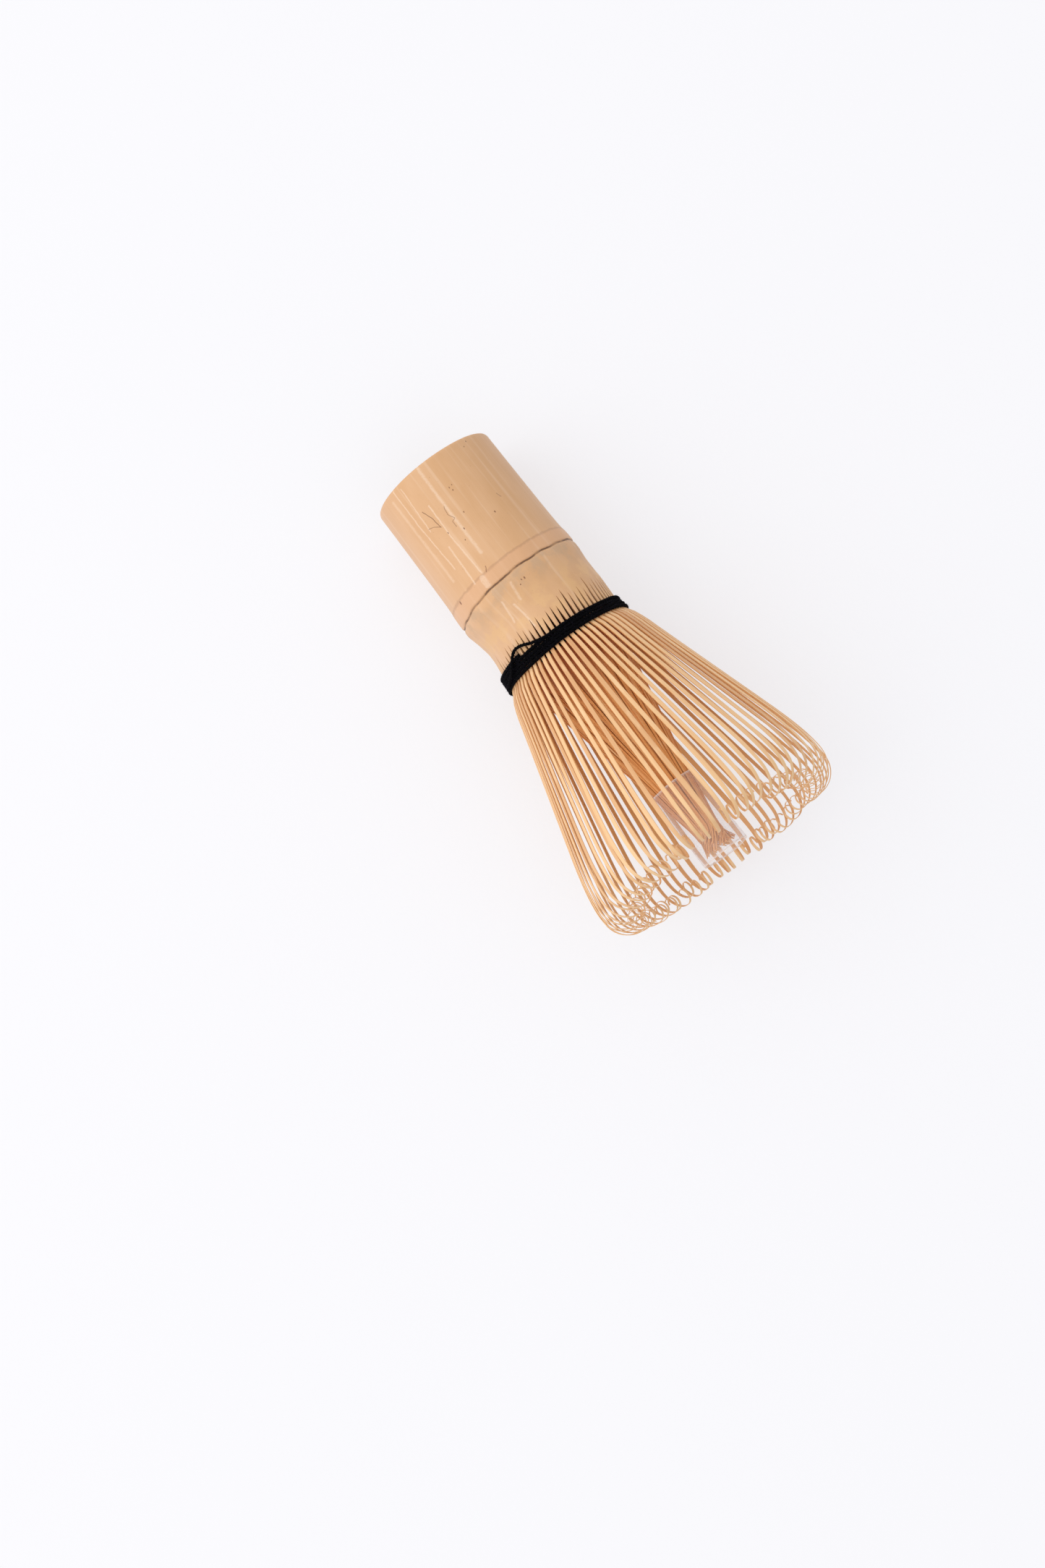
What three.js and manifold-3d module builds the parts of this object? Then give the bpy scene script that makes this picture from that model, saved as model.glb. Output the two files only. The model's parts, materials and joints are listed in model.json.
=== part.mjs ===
// Bamboo tea whisk, lying at rest on a table. Millimetres, +Z up, the table at z = 0.
//
// The whisk is one length of bamboo. Its handle is left whole, and above the node the wall is
// split into strips. Black thread parts the strips into an outer row and an inner row, the
// outer tines are curled inwards at their tips, and the inner ones meet in a bundle that a
// short clear sleeve holds together.
//
// Every shape is drawn about the whisk's own axis: a "station" is the distance along that axis
// from the cut end of the handle, and a radius is the distance from it. Azimuth 0 points to
// +Y, azimuth 90 degrees points up. The last lines tilt the whole whisk into its resting pose.

import * as THREE from 'three';
import { mergeVertices } from 'three/addons/utils/BufferGeometryUtils.js';
import Module from 'manifold-3d';

const wasm = await Module();
wasm.setup();

const DEGREE = Math.PI / 180;

// ---------- driving dimensions ----------

const SECTIONS = 12; // the wall is first split into this many equal sections
const TINES_PER_SECTION = 6; // and each section into this many strips
const TINES = SECTIONS * TINES_PER_SECTION;
const REST_TILT = 8.42 * DEGREE; // slope of the axis when handle rim and crown touch the table

const CUT_END_RADIUS = 13.9;
const BORE_RADIUS = 10.8;
const CULM_LENGTH = 46.0; // the solid wall ends under the binding
const NECK_RADIUS = 14.2;
// Outside of the handle: chamfered rim, swelling at the node, scar groove, waisted neck.
const HANDLE_OUTLINE = [
  [0, CUT_END_RADIUS],
  [0.45, 14.2],
  [24, 14.6],
  [27.5, 14.95],
  [29.3, 14.95],
  [29.8, 14.6],
  [30.4, 14.6],
  [30.9, 14.9],
  [35, 14.6],
  [40, NECK_RADIUS],
  [CULM_LENGTH, NECK_RADIUS],
];
const HANDLE_FACETS = 24;

const SLIT_START = 39.5; // the splits run out to points in the neck
const SLIT_WIDTH = 0.4; // at the end of the wall
const SLIT_DEPTH = 1.6;

const DIAPHRAGM = { station: 29.5, thickness: 2.0, dish: 0.5, radius: BORE_RADIUS - 0.3 };

const OUTER_ROW = {
  rootThickness: 0.75,
  straightThickness: 0.4,
  tipThickness: 0.3,
  rootWidth: 0.95,
  straightWidth: 1.1,
  tipWidth: 0.6,
};
// Outside of the outer row, from under the binding to the start of the curl.
const OUTER_ROW_OUTLINE = [
  [46.6, 14.3],
  [48.6, 15.0],
  [56, 18.4],
  [81, 26.1],
];
const CURL_LENGTH = 31.7;
const CURL_TURN = 232 * DEGREE;
const CURL_TIGHTENING = 3; // above 1 the curl grows tighter towards the tip
const CURL_STEPS = 6; // of equal turn each
const CURL_SUMMING_STEPS = 40;

const INNER_ROW = { rootThickness: 0.6, tipThickness: 0.45, rootWidth: 0.7, tipWidth: 0.26 };
// Middle line of the inner row, from under the binding to the tips in the sleeve.
const INNER_ROW_LINE = [
  [46.6, 11.5],
  [52, 10.9],
  [82, 4.9],
  [99.5, 4.5],
];

// The uncut foot that joins the tines of one section, hidden under the binding.
const FOOT = { start: 46.3, length: 0.6, proud: 0.06 };
const SECTION_GAP = 0.3;

const THREAD_RADIUS = 0.48;
const THREAD_CLEARANCE = 0.4;
const THREAD_SIDES = 6;
const WRAP = { start: 44.6, end: 47.7, turns: 3.2, stepsPerTurn: 24, startAzimuth: 118 };
const SPREADER = { station: 47.6, radius: 12.8, threadRadius: 0.5 };
// Route of the slack strand beside the wraps: azimuth in degrees, station, height above wood.
const SLACK_STRAND = [
  [109, 43.4, 0.75],
  [116, 42.7, 0.75],
  [124, 42.3, 0.8],
  [132, 42.7, 0.8],
  [139, 43.4, 0.75],
];
const SLACK_STRAND_RADIUS = 0.4;
const SLACK_STRAND_STEPS = 12;

const SLEEVE = { start: 83, end: 101, outerRadius: 5.6, wall: 0.3, facets: 24 };

// ---------- materials ----------

function finish(color, roughness, options = {}) {
  return new THREE.MeshStandardMaterial({ color, roughness, metalness: 0, ...options });
}

const bambooSkin = finish('#d9b284', 0.45);
const bambooFlesh = finish('#e0c193', 0.7);
const outerTineBamboo = finish('#e0ae74', 0.5);
const innerTineBamboo = finish('#d8a468', 0.6);
const blackThread = finish('#16161d', 0.9);
const clearFilm = finish('#f2f0ee', 0.15, { transparent: true, opacity: 0.35 });

// ---------- geometry helpers ----------

// Turns a closed list of [station, radius] points about the whisk's axis, which is +X here.
// The flats touch the true circle, and one of them faces down.
function turned(outline, facets) {
  const halfFacet = Math.PI / facets;
  const points = outline.map(([station, radius]) => (
    new THREE.Vector2(radius / Math.cos(halfFacet), station)
  ));
  return new THREE.LatheGeometry(points, facets, halfFacet).rotateZ(-90 * DEGREE);
}

function onWhisk(station, radius, azimuth) {
  return new THREE.Vector3(station, radius * Math.cos(azimuth), radius * Math.sin(azimuth));
}

// Radius of an outline at a station, by straight lines between its points.
function radiusAt(outline, station) {
  const last = outline.length - 1;
  const next = outline.findIndex(([s]) => s > station);
  if (next === 0) return outline[0][1];
  if (next < 0) return outline[last][1];
  const [s0, r0] = outline[next - 1];
  const [s1, r1] = outline[next];
  return THREE.MathUtils.mapLinear(station, s0, s1, r0, r1);
}

function asSolid(geometry) {
  const bare = geometry.clone();
  bare.deleteAttribute('normal');
  bare.deleteAttribute('uv');
  const merged = mergeVertices(bare, 1e-4);
  const vertProperties = new Float32Array(merged.attributes.position.array);
  const triVerts = new Uint32Array(merged.index.array);
  return new wasm.Manifold(new wasm.Mesh({ numProp: 3, vertProperties, triVerts }));
}

function asGeometry(solid) {
  const mesh = solid.getMesh();
  const geometry = new THREE.BufferGeometry();
  geometry.setAttribute('position', new THREE.BufferAttribute(mesh.vertProperties, 3));
  geometry.setIndex(new THREE.BufferAttribute(mesh.triVerts, 1));
  geometry.computeVertexNormals();
  return geometry;
}

// A split strip of bamboo: a box bent along a line of stations that lies in one radial plane.
// Each station has its middle point, its heading from the axis, its thickness and its width.
function strip(line, azimuth) {
  const steps = line.length - 1;
  const geometry = new THREE.BoxGeometry(1, 1, 1, steps, 1, 1);
  const position = geometry.attributes.position;
  const across = new THREE.Vector3(0, -Math.sin(azimuth), Math.cos(azimuth));
  for (let i = 0; i < position.count; i += 1) {
    const at = line[Math.round((position.getX(i) + 0.5) * steps)];
    const outwards = position.getZ(i) * at.thickness;
    const station = at.station - outwards * Math.sin(at.heading);
    const radius = at.radius + outwards * Math.cos(at.heading);
    const point = onWhisk(station, radius, azimuth);
    point.addScaledVector(across, -position.getY(i) * at.width);
    position.setXYZ(i, point.x, point.y, point.z);
  }
  return geometry;
}

// The arc of wood at the foot of one section, which its tines grow from.
function sectionFoot(tineRoot, middleAzimuth) {
  const outerRadius = tineRoot.radius + tineRoot.thickness / 2 + FOOT.proud;
  const innerRadius = tineRoot.radius - tineRoot.thickness / 2 - FOOT.proud;
  const halfAngle = 180 * DEGREE / SECTIONS - SECTION_GAP / 2 / innerRadius;
  const shape = new THREE.Shape();
  shape.absarc(0, 0, outerRadius, middleAzimuth - halfAngle, middleAzimuth + halfAngle, false);
  shape.absarc(0, 0, innerRadius, middleAzimuth + halfAngle, middleAzimuth - halfAngle, true);
  const settings = { depth: FOOT.length, bevelEnabled: false, curveSegments: 2 };
  const standUp = new THREE.Matrix4().makeBasis(
    new THREE.Vector3(0, 1, 0),
    new THREE.Vector3(0, 0, 1),
    new THREE.Vector3(1, 0, 0),
  );
  return new THREE.ExtrudeGeometry(shape, settings).applyMatrix4(standUp).translate(FOOT.start, 0, 0);
}

// A length of round thread along a curve.
function thread(curve, radius, steps) {
  const section = new THREE.Shape();
  section.absarc(0, 0, radius, 0, 360 * DEGREE, false);
  const curveSegments = THREAD_SIDES / 2; // an arc has two sides for each of these
  return new THREE.ExtrudeGeometry(section, { steps, curveSegments, extrudePath: curve });
}

class Helix extends THREE.Curve {
  getPoint(t, target = new THREE.Vector3()) {
    const station = THREE.MathUtils.lerp(WRAP.start, WRAP.end, t);
    const azimuth = WRAP.startAzimuth * DEGREE + t * WRAP.turns * 360 * DEGREE;
    return target.copy(onWhisk(station, woodRadiusAt(station) + THREAD_CLEARANCE + THREAD_RADIUS, azimuth));
  }
}

// ---------- the bamboo ----------

function woodRadiusAt(station) {
  const outline = station < CULM_LENGTH ? HANDLE_OUTLINE : OUTER_ROW_OUTLINE;
  return radiusAt(outline, station);
}

// The ends of the splits: one thin wedge between each two tines, cut out of the neck.
function slit(azimuth) {
  const wedge = new THREE.Shape();
  wedge.moveTo(SLIT_START, 0);
  wedge.lineTo(CULM_LENGTH + 1, -SLIT_WIDTH / 2);
  wedge.lineTo(CULM_LENGTH + 1, SLIT_WIDTH / 2);
  const settings = { depth: SLIT_DEPTH + 1, bevelEnabled: false };
  const geometry = new THREE.ExtrudeGeometry(wedge, settings);
  return geometry.translate(0, 0, NECK_RADIUS - SLIT_DEPTH).rotateX(azimuth - 90 * DEGREE);
}

function handleCulm() {
  const bore = [[CULM_LENGTH, BORE_RADIUS], [0, BORE_RADIUS]];
  const closed = [...HANDLE_OUTLINE, ...bore, HANDLE_OUTLINE[0]];
  let culm = asSolid(turned(closed, HANDLE_FACETS));
  for (let i = 0; i < TINES; i += 1) {
    culm = culm.subtract(asSolid(slit(i * 360 * DEGREE / TINES)));
  }
  return asGeometry(culm);
}

// The wall of wood that closes the culm at its node, slightly dished.
function nodeDiaphragm() {
  const { station, thickness, dish, radius } = DIAPHRAGM;
  const outline = [
    [station + dish, 0],
    [station, radius],
    [station + thickness, radius],
    [station + thickness + dish, 0],
  ];
  return turned(outline, HANDLE_FACETS);
}

// Heading of a point on the curl, a share t of the way along it.
function curlHeading(start, t) {
  return start.heading - CURL_TURN * t ** CURL_TIGHTENING;
}

// The curl's middle line has no closed form, so its small steps are summed up to the point.
function curlPoint(start, t) {
  const step = t * CURL_LENGTH / CURL_SUMMING_STEPS;
  let { station, radius } = start;
  for (let i = 0; i < CURL_SUMMING_STEPS; i += 1) {
    const heading = curlHeading(start, t * (i + 0.5) / CURL_SUMMING_STEPS);
    station += step * Math.cos(heading);
    radius += step * Math.sin(heading);
  }
  return {
    station,
    radius,
    heading: curlHeading(start, t),
    thickness: THREE.MathUtils.lerp(OUTER_ROW.straightThickness, OUTER_ROW.tipThickness, t),
    width: THREE.MathUtils.lerp(OUTER_ROW.straightWidth, OUTER_ROW.tipWidth, t),
  };
}

// Heading of a line of [station, radius] points at one of them, from its neighbours.
function headingAt(points, i) {
  const [s0, r0] = points[Math.max(i - 1, 0)];
  const [s1, r1] = points[Math.min(i + 1, points.length - 1)];
  return Math.atan2(r1 - r0, s1 - s0);
}

// Middle line of one outer tine: half a thickness inside the outline, then the curl.
function outerTineLine() {
  const { rootThickness, straightThickness, rootWidth, straightWidth } = OUTER_ROW;
  const last = OUTER_ROW_OUTLINE.length - 1;
  const line = OUTER_ROW_OUTLINE.map(([station, radius], i) => {
    const heading = headingAt(OUTER_ROW_OUTLINE, i);
    const thickness = THREE.MathUtils.lerp(rootThickness, straightThickness, i / last);
    return {
      station: station + thickness / 2 * Math.sin(heading),
      radius: radius - thickness / 2 * Math.cos(heading),
      heading,
      thickness,
      width: THREE.MathUtils.lerp(rootWidth, straightWidth, i / last),
    };
  });
  for (let i = 1; i <= CURL_STEPS; i += 1) {
    line.push(curlPoint(line[last], (i / CURL_STEPS) ** (1 / CURL_TIGHTENING)));
  }
  return line;
}

function innerTineLine() {
  const { rootThickness, tipThickness, rootWidth, tipWidth } = INNER_ROW;
  const last = INNER_ROW_LINE.length - 1;
  return INNER_ROW_LINE.map(([station, radius], i) => ({
    station,
    radius,
    heading: headingAt(INNER_ROW_LINE, i),
    thickness: THREE.MathUtils.lerp(rootThickness, tipThickness, i / last),
    width: THREE.MathUtils.lerp(rootWidth, tipWidth, i / last),
  }));
}

// One section of a row: its tines, joined at the foot under the binding.
function tineSection(line, sectionIndex) {
  const sectionAzimuth = sectionIndex * 360 * DEGREE / SECTIONS;
  const strips = [sectionFoot(line[0], sectionAzimuth)];
  for (let i = 0; i < TINES_PER_SECTION; i += 1) {
    const offset = (i - (TINES_PER_SECTION - 1) / 2) * 360 * DEGREE / TINES;
    strips.push(strip(line, sectionAzimuth + offset));
  }
  return asGeometry(wasm.Manifold.union(strips.map(asSolid)));
}

// ---------- thread and sleeve ----------

function bindingWraps() {
  return thread(new Helix(), THREAD_RADIUS, Math.round(WRAP.turns * WRAP.stepsPerTurn));
}

function slackStrand() {
  const points = SLACK_STRAND.map(([azimuth, station, height]) => (
    onWhisk(station, woodRadiusAt(station) + height, azimuth * DEGREE)
  ));
  return thread(new THREE.CatmullRomCurve3(points), SLACK_STRAND_RADIUS, SLACK_STRAND_STEPS);
}

function spreaderThread() {
  const { radius, threadRadius } = SPREADER;
  const ring = new THREE.TorusGeometry(radius, threadRadius, THREAD_SIDES, HANDLE_FACETS);
  return ring.rotateY(90 * DEGREE).translate(SPREADER.station, 0, 0);
}

function clearSleeve() {
  const { start, end, outerRadius, wall, facets } = SLEEVE;
  const outline = [
    [start, outerRadius],
    [end, outerRadius],
    [end, outerRadius - wall],
    [start, outerRadius - wall],
    [start, outerRadius],
  ];
  return turned(outline, facets);
}

// ---------- assembly ----------

const whisk = new THREE.Group();
whisk.rotation.y = -REST_TILT;

function add(name, geometry, material) {
  const mesh = new THREE.Mesh(geometry, material);
  mesh.name = name;
  whisk.add(mesh);
}

add('handle_culm', handleCulm(), bambooSkin);
add('node_diaphragm', nodeDiaphragm(), bambooFlesh);
for (let i = 0; i < SECTIONS; i += 1) {
  const number = String(i + 1).padStart(2, '0');
  add(`outer_tines_${number}`, tineSection(outerTineLine(), i), outerTineBamboo);
  add(`inner_tines_${number}`, tineSection(innerTineLine(), i), innerTineBamboo);
}
add('binding_wraps', bindingWraps(), blackThread);
add('slack_strand', slackStrand(), blackThread);
add('spreader_thread', spreaderThread(), blackThread);
add('clear_sleeve', clearSleeve(), clearFilm);

// The origin is the middle of the whisk's outer box, on the table.
const model = new THREE.Group();
model.add(whisk);
const box = new THREE.Box3().setFromObject(model, true);
const middle = box.getCenter(new THREE.Vector3());
whisk.position.set(-middle.x, -middle.y, -box.min.z);
model.updateMatrixWorld(true);

export default model;
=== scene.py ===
"""The looks of a bamboo tea whisk that lies on its side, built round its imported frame.

Shapes are drawn about the whisk's own axis, in millimetres: a station is the distance from the
cut end of the handle, azimuth 0 points to +Y and azimuth 90 degrees points up. Each finished
mesh is then moved into the row frame, in metres.
"""

import json
import math

import bpy
import numpy as np
from bpy.props import FloatProperty, FloatVectorProperty, IntProperty, PointerProperty
from mathutils import Matrix, Vector


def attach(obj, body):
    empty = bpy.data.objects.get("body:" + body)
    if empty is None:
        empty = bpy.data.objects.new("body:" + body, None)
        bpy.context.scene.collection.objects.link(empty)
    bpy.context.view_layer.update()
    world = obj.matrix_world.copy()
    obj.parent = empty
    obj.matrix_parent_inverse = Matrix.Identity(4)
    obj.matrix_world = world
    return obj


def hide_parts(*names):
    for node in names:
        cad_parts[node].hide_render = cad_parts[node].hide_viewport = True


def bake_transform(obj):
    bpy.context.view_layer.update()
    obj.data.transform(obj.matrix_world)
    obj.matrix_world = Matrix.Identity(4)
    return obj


bl_info = {
    "name": "Bamboo Tea Whisk",
    "version": (1, 0, 0),
    "blender": (4, 5, 0),
    "location": "View3D > Sidebar > Whisk",
    "description": "Builds a bamboo tea whisk around its packed frame",
    "category": "Object",
}

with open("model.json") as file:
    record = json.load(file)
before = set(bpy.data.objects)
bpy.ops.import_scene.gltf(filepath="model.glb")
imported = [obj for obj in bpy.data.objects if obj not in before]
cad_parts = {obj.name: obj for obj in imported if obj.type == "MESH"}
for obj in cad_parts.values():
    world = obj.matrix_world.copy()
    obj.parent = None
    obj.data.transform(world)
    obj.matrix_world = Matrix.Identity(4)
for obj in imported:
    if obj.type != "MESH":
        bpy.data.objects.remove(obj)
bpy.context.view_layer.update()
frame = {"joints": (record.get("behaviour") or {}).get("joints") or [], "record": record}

# ---------- where the whisk lies ----------

MM = 0.001
SECTIONS = 12
SECTION_ANGLE = 2 * math.pi / SECTIONS
HINGE_STATION = 48.6  # the outer sections bend here, at the edge of the binding
HINGES = [Vector(j["pos_m"]) for j in frame["joints"] if j["type"] == "hinge"]
CUT_END = next(m for m in frame["record"]["mounts"] if m["name"] == "cut_end")
AXIS = -Vector(CUT_END["axis"]).normalized()
SIDE = Vector((0, 1, 0))
UP = AXIS.cross(SIDE)
HINGE_CENTRE = (HINGES[0] + HINGES[SECTIONS // 2]) / 2


def whisk_matrix():
    """Takes a point (station, sideways, up) in millimetres into the row frame."""
    start = HINGE_CENTRE - AXIS * HINGE_STATION * MM
    columns = [AXIS * MM, SIDE * MM, UP * MM]
    rows = [[c[i] for c in columns] + [start[i]] for i in range(3)]
    return Matrix(rows + [[0, 0, 0, 1]])


WHISK = whisk_matrix()


def on_axis(station):
    """A point on the whisk's axis, in the row frame."""
    return WHISK @ Vector((station, 0, 0))


# ---------- shapes ----------

SLITS = 72
CULM_END = 46.0
# Outside of the handle: rim, long swell, ridge, scar groove, waisted neck.
CULM_OUTLINE = [
    (0.0, 13.85), (0.18, 14.1), (0.55, 14.25), (6, 14.3), (13, 14.4), (19, 14.48), (24, 14.6),
    (25.6, 14.68), (26.2, 14.74), (26.7, 14.84), (28.0, 14.92), (29.25, 14.95), (29.5, 14.78),
    (29.7, 14.68), (29.95, 14.82), (30.3, 14.95), (31.6, 14.95), (34.7, 14.5), (37.7, 14.25),
    (40.8, 14.3), (43, 14.4), (CULM_END, 14.5),
]
NECK_RADIUS = 14.5
NECK_STATION = 39.0
NECK_BEND = 0.5  # the neck's centre lies this far towards +Y
RIDGE_STATION = 28.0
GROOVE_STATION = 29.65
BORE_RADIUS = 10.8
SAWN_END_RADII = (11.1, 11.8, 12.6, 13.3, 13.8)
SEPTUM_FACES = (29.5, 31.5)  # stations of the wall across the bore
SEPTUM_RADIUS = 10.5

SLIT_COLUMNS = 7  # of the culm's grid for each slit and the strip beside it
SLIT_START = 40.7
SLIT_SLANT = 1.3  # slits start this much sooner towards +Y, and later opposite
SLIT_WIDTH = 0.33
SLIT_DEPTH = 1.5

OUTER_ROOT_LINE = [
    (46.4, 14.0), (47.4, 14.3), (48.6, 15.1), (50, 15.9), (53, 17.0), (56, 17.85), (81, 25.15),
]
CURL_START = (81.0, 25.15)
CURL_HEADING = 16.3  # degrees from the axis
# Distance along the curl, and how sharply it bends there in degrees per millimetre.
CURL_BENDING = [
    (0, 0), (9, 0.7), (14.5, 1.8), (17, 6.6), (18.5, 10.2), (25.2, 11.0), (26.3, 33), (34.7, 38),
]
CURL_LENGTH = CURL_BENDING[-1][0]
CURL_SAMPLES = 240

INNER_LINE = [
    (46.4, 11.6), (49, 11.4), (54, 10.6), (62, 9.1), (70, 7.5), (78, 5.8), (83, 4.9),
    (88, 4.1), (93, 3.2), (96, 2.9), (98, 3.3), (99.3, 3.9), (99.8, 4.4),
]

SLEEVE_START = 83.0
SLEEVE_END = 101.0
SLEEVE_RADIUS = 5.2
SLEEVE_FLARE = 0.35
FILM_THICKNESS = 0.07


# ---------- node trees ----------


class Wire:
    """A number running through a node tree, so that sums read as sums."""

    def __init__(self, board, socket):
        self.board = board
        self.socket = socket


def arithmetic(operation, turned=False):
    """A sum of two numbers as a node, the other way round when turned."""
    def apply(wire, other):
        values = (other, wire) if turned else (wire, other)
        return wire.board.math(operation, *values)
    return apply


for sign, operation in (("add", "ADD"), ("sub", "SUBTRACT"), ("mul", "MULTIPLY")):
    setattr(Wire, f"__{sign}__", arithmetic(operation))
    setattr(Wire, f"__r{sign}__", arithmetic(operation, turned=True))
for sign, operation in (("truediv", "DIVIDE"), ("pow", "POWER"), ("gt", "GREATER_THAN")):
    setattr(Wire, f"__{sign}__", arithmetic(operation))


class Board:
    """A node tree being built."""

    def __init__(self, tree):
        self.tree = tree

    def add(self, kind, settings=None, **inputs):
        """Adds a node. Its inputs are given by name, with _ for a space, or as iN by place."""
        node = self.tree.nodes.new(kind)
        for key, value in (settings or {}).items():
            setattr(node, key, value)
        for key, value in inputs.items():
            place = int(key[1:]) if key[0] == "i" and key[1:].isdigit() else key.replace("_", " ")
            self.plug(node.inputs[place], value)
        return node

    def plug(self, socket, value):
        """Links or sets one input."""
        if isinstance(value, Wire):
            value = value.socket
        if isinstance(value, bpy.types.NodeSocket):
            self.tree.links.new(value, socket)
        else:
            socket.default_value = value

    def fill(self, node, **inputs):
        """Links or sets inputs by name, with _ for a space."""
        for name, value in inputs.items():
            self.plug(node.inputs[name.replace("_", " ")], value)

    def wire(self, node, output=0):
        return Wire(self, node.outputs[output])

    def math(self, operation, *values):
        inputs = {f"i{n}": value for n, value in enumerate(values)}
        return self.wire(self.add("ShaderNodeMath", {"operation": operation}, **inputs))

    def vector_math(self, operation, *values, output=0):
        inputs = {f"i{n}": value for n, value in enumerate(values)}
        node = self.add("ShaderNodeVectorMath", {"operation": operation}, **inputs)
        return self.wire(node, output)

    def scaled(self, vector, factor):
        node = self.add("ShaderNodeVectorMath", {"operation": "SCALE"}, Vector=vector, Scale=factor)
        return self.wire(node)

    def vector(self, x, y, z):
        return self.wire(self.add("ShaderNodeCombineXYZ", i0=x, i1=y, i2=z))

    def split(self, vector):
        node = self.add("ShaderNodeSeparateXYZ", i0=vector)
        return [self.wire(node, n) for n in range(3)]

    def ramp(self, value, low, high, out_low=0.0, out_high=1.0, smooth=True):
        """Takes value from low..high to out_low..out_high, held at both ends."""
        kind = {"interpolation_type": "SMOOTHSTEP" if smooth else "LINEAR"}
        inputs = {f"i{n}": given for n, given in enumerate((value, low, high, out_low, out_high))}
        return self.wire(self.add("ShaderNodeMapRange", kind, **inputs))

    def noise(self, vector, scale=1.0, detail=2.0, roughness=0.5):
        settings = {"Vector": vector, "Scale": scale, "Detail": detail, "Roughness": roughness}
        return self.wire(self.add("ShaderNodeTexNoise", **settings))

    def mix(self, factor, first, second, blend="MIX"):
        """Mixes two colours."""
        node = self.add("ShaderNodeMix", {"data_type": "RGBA", "blend_type": blend})
        for place, value in ((0, factor), (6, first), (7, second)):
            self.plug(node.inputs[place], value)
        return self.wire(node, 2)


def new_group(name, kind, inputs, outputs):
    """A node group with named sockets: (name, type[, default])."""
    tree = bpy.data.node_groups.new(name, kind)
    for in_out, sockets in (("INPUT", inputs), ("OUTPUT", outputs)):
        for socket_name, socket_type, *default in sockets:
            item = tree.interface.new_socket(socket_name, in_out=in_out, socket_type=socket_type)
            if default:
                item.default_value = default[0]
    board = Board(tree)
    entry = board.add("NodeGroupInput")
    exit_node = board.add("NodeGroupOutput")
    return board, {s.name: Wire(board, s) for s in entry.outputs if s.name}, exit_node


FLOAT, VECTOR = "NodeSocketFloat", "NodeSocketVector"


# ---------- effects shared by the materials ----------

SKIN_RADIUS = 15.0  # at which the skin is unrolled
SPECK_UNIT = 10.0


def group_round_the_culm():
    """Unrolls the skin: station and the arc from the top, in millimetres."""
    board, given, out = new_group(
        "Round the Culm", "ShaderNodeTree",
        [("Place", VECTOR)], [("Skin", VECTOR), ("Station", FLOAT), ("Arc", FLOAT)],
    )
    station, sideways, up = board.split(given["Place"])
    arc = board.math("ARCTAN2", sideways, up) * SKIN_RADIUS
    board.fill(out, Skin=board.vector(station, arc, 0.0), Station=station, Arc=arc)
    return board.tree


def group_bamboo_fibre():
    """Fibres that run along the first coordinate: fine lines, streaks and clouds, all 0 to 1."""
    board, given, out = new_group(
        "Bamboo Fibre", "ShaderNodeTree",
        [("Along Across", VECTOR), ("Fineness", FLOAT, 4.0), ("Stretch", FLOAT, 0.03)],
        [("Fine", FLOAT), ("Streaks", FLOAT), ("Clouds", FLOAT)],
    )
    along, across, depth = board.split(given["Along Across"])
    fineness, stretch = given["Fineness"], given["Stretch"]
    thin = board.vector(along * stretch * 3.0, across * fineness, depth * fineness)
    wide = board.vector(along * stretch, across * fineness * 0.25, depth * 0.5)
    cloudy = board.vector(along * 0.07, across * 0.16, depth * 0.16)
    board.fill(
        out, Fine=board.noise(thin, 1.0, 3.0, 0.6), Streaks=board.noise(wide, 1.0, 2.0, 0.5),
        Clouds=board.noise(cloudy, 1.0, 3.0, 0.55),
    )
    return board.tree


def group_drawn_mark():
    """A line on the skin between two points, with soft edges."""
    board, given, out = new_group(
        "Drawn Mark", "ShaderNodeTree",
        [("Skin", VECTOR), ("From", VECTOR), ("To", VECTOR),
         ("Half Width", FLOAT, 0.1), ("Softness", FLOAT, 0.1), ("Strength", FLOAT, 1.0)],
        [("Mask", FLOAT)],
    )
    reach = board.vector_math("SUBTRACT", given["To"], given["From"])
    offset = board.vector_math("SUBTRACT", given["Skin"], given["From"])
    square = board.vector_math("DOT_PRODUCT", reach, reach, output=1)
    along = board.vector_math("DOT_PRODUCT", offset, reach, output=1)
    share = board.ramp(along / (square + 1e-6), 0.0, 1.0, smooth=False)
    gap = board.vector_math("DISTANCE", offset, board.scaled(reach, share), output=1)
    edge = given["Half Width"] + given["Softness"]
    mask = board.ramp(gap, given["Half Width"], edge, 1.0, 0.0)
    board.fill(out, Mask=mask * given["Strength"])
    return board.tree


def group_specks():
    """Small scattered dots, as on old bamboo skin."""
    board, given, out = new_group(
        "Specks", "ShaderNodeTree",
        [("Skin", VECTOR), ("Spacing", FLOAT, 2.5), ("Radius", FLOAT, 0.12), ("Share", FLOAT, 0.3)],
        [("Mask", FLOAT)],
    )
    cells = board.add("ShaderNodeTexVoronoi", {"voronoi_dimensions": "2D"})
    crowding = board.math("DIVIDE", SPECK_UNIT, given["Spacing"])
    board.fill(cells, Vector=board.scaled(given["Skin"], 1.0 / SPECK_UNIT), Scale=crowding)
    distance = board.wire(cells, 0) * given["Spacing"]
    red, green, _ = board.split(board.wire(cells, 1))
    chosen = 1.0 - (red > given["Share"])
    size = given["Radius"] * (0.4 + green)
    mask = board.ramp(distance, size * 0.5, size, 1.0, 0.0) * chosen
    board.fill(out, Mask=mask)
    return board.tree


def new_material(name):
    """A material with its board and its Principled shader."""
    material = bpy.data.materials.new(name)
    material.use_nodes = True
    board = Board(material.node_tree)
    shader = material.node_tree.nodes["Principled BSDF"]
    return material, board, shader


def attribute(board, name, output="Vector"):
    return board.wire(board.add("ShaderNodeAttribute", {"attribute_name": name}), output)


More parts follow.
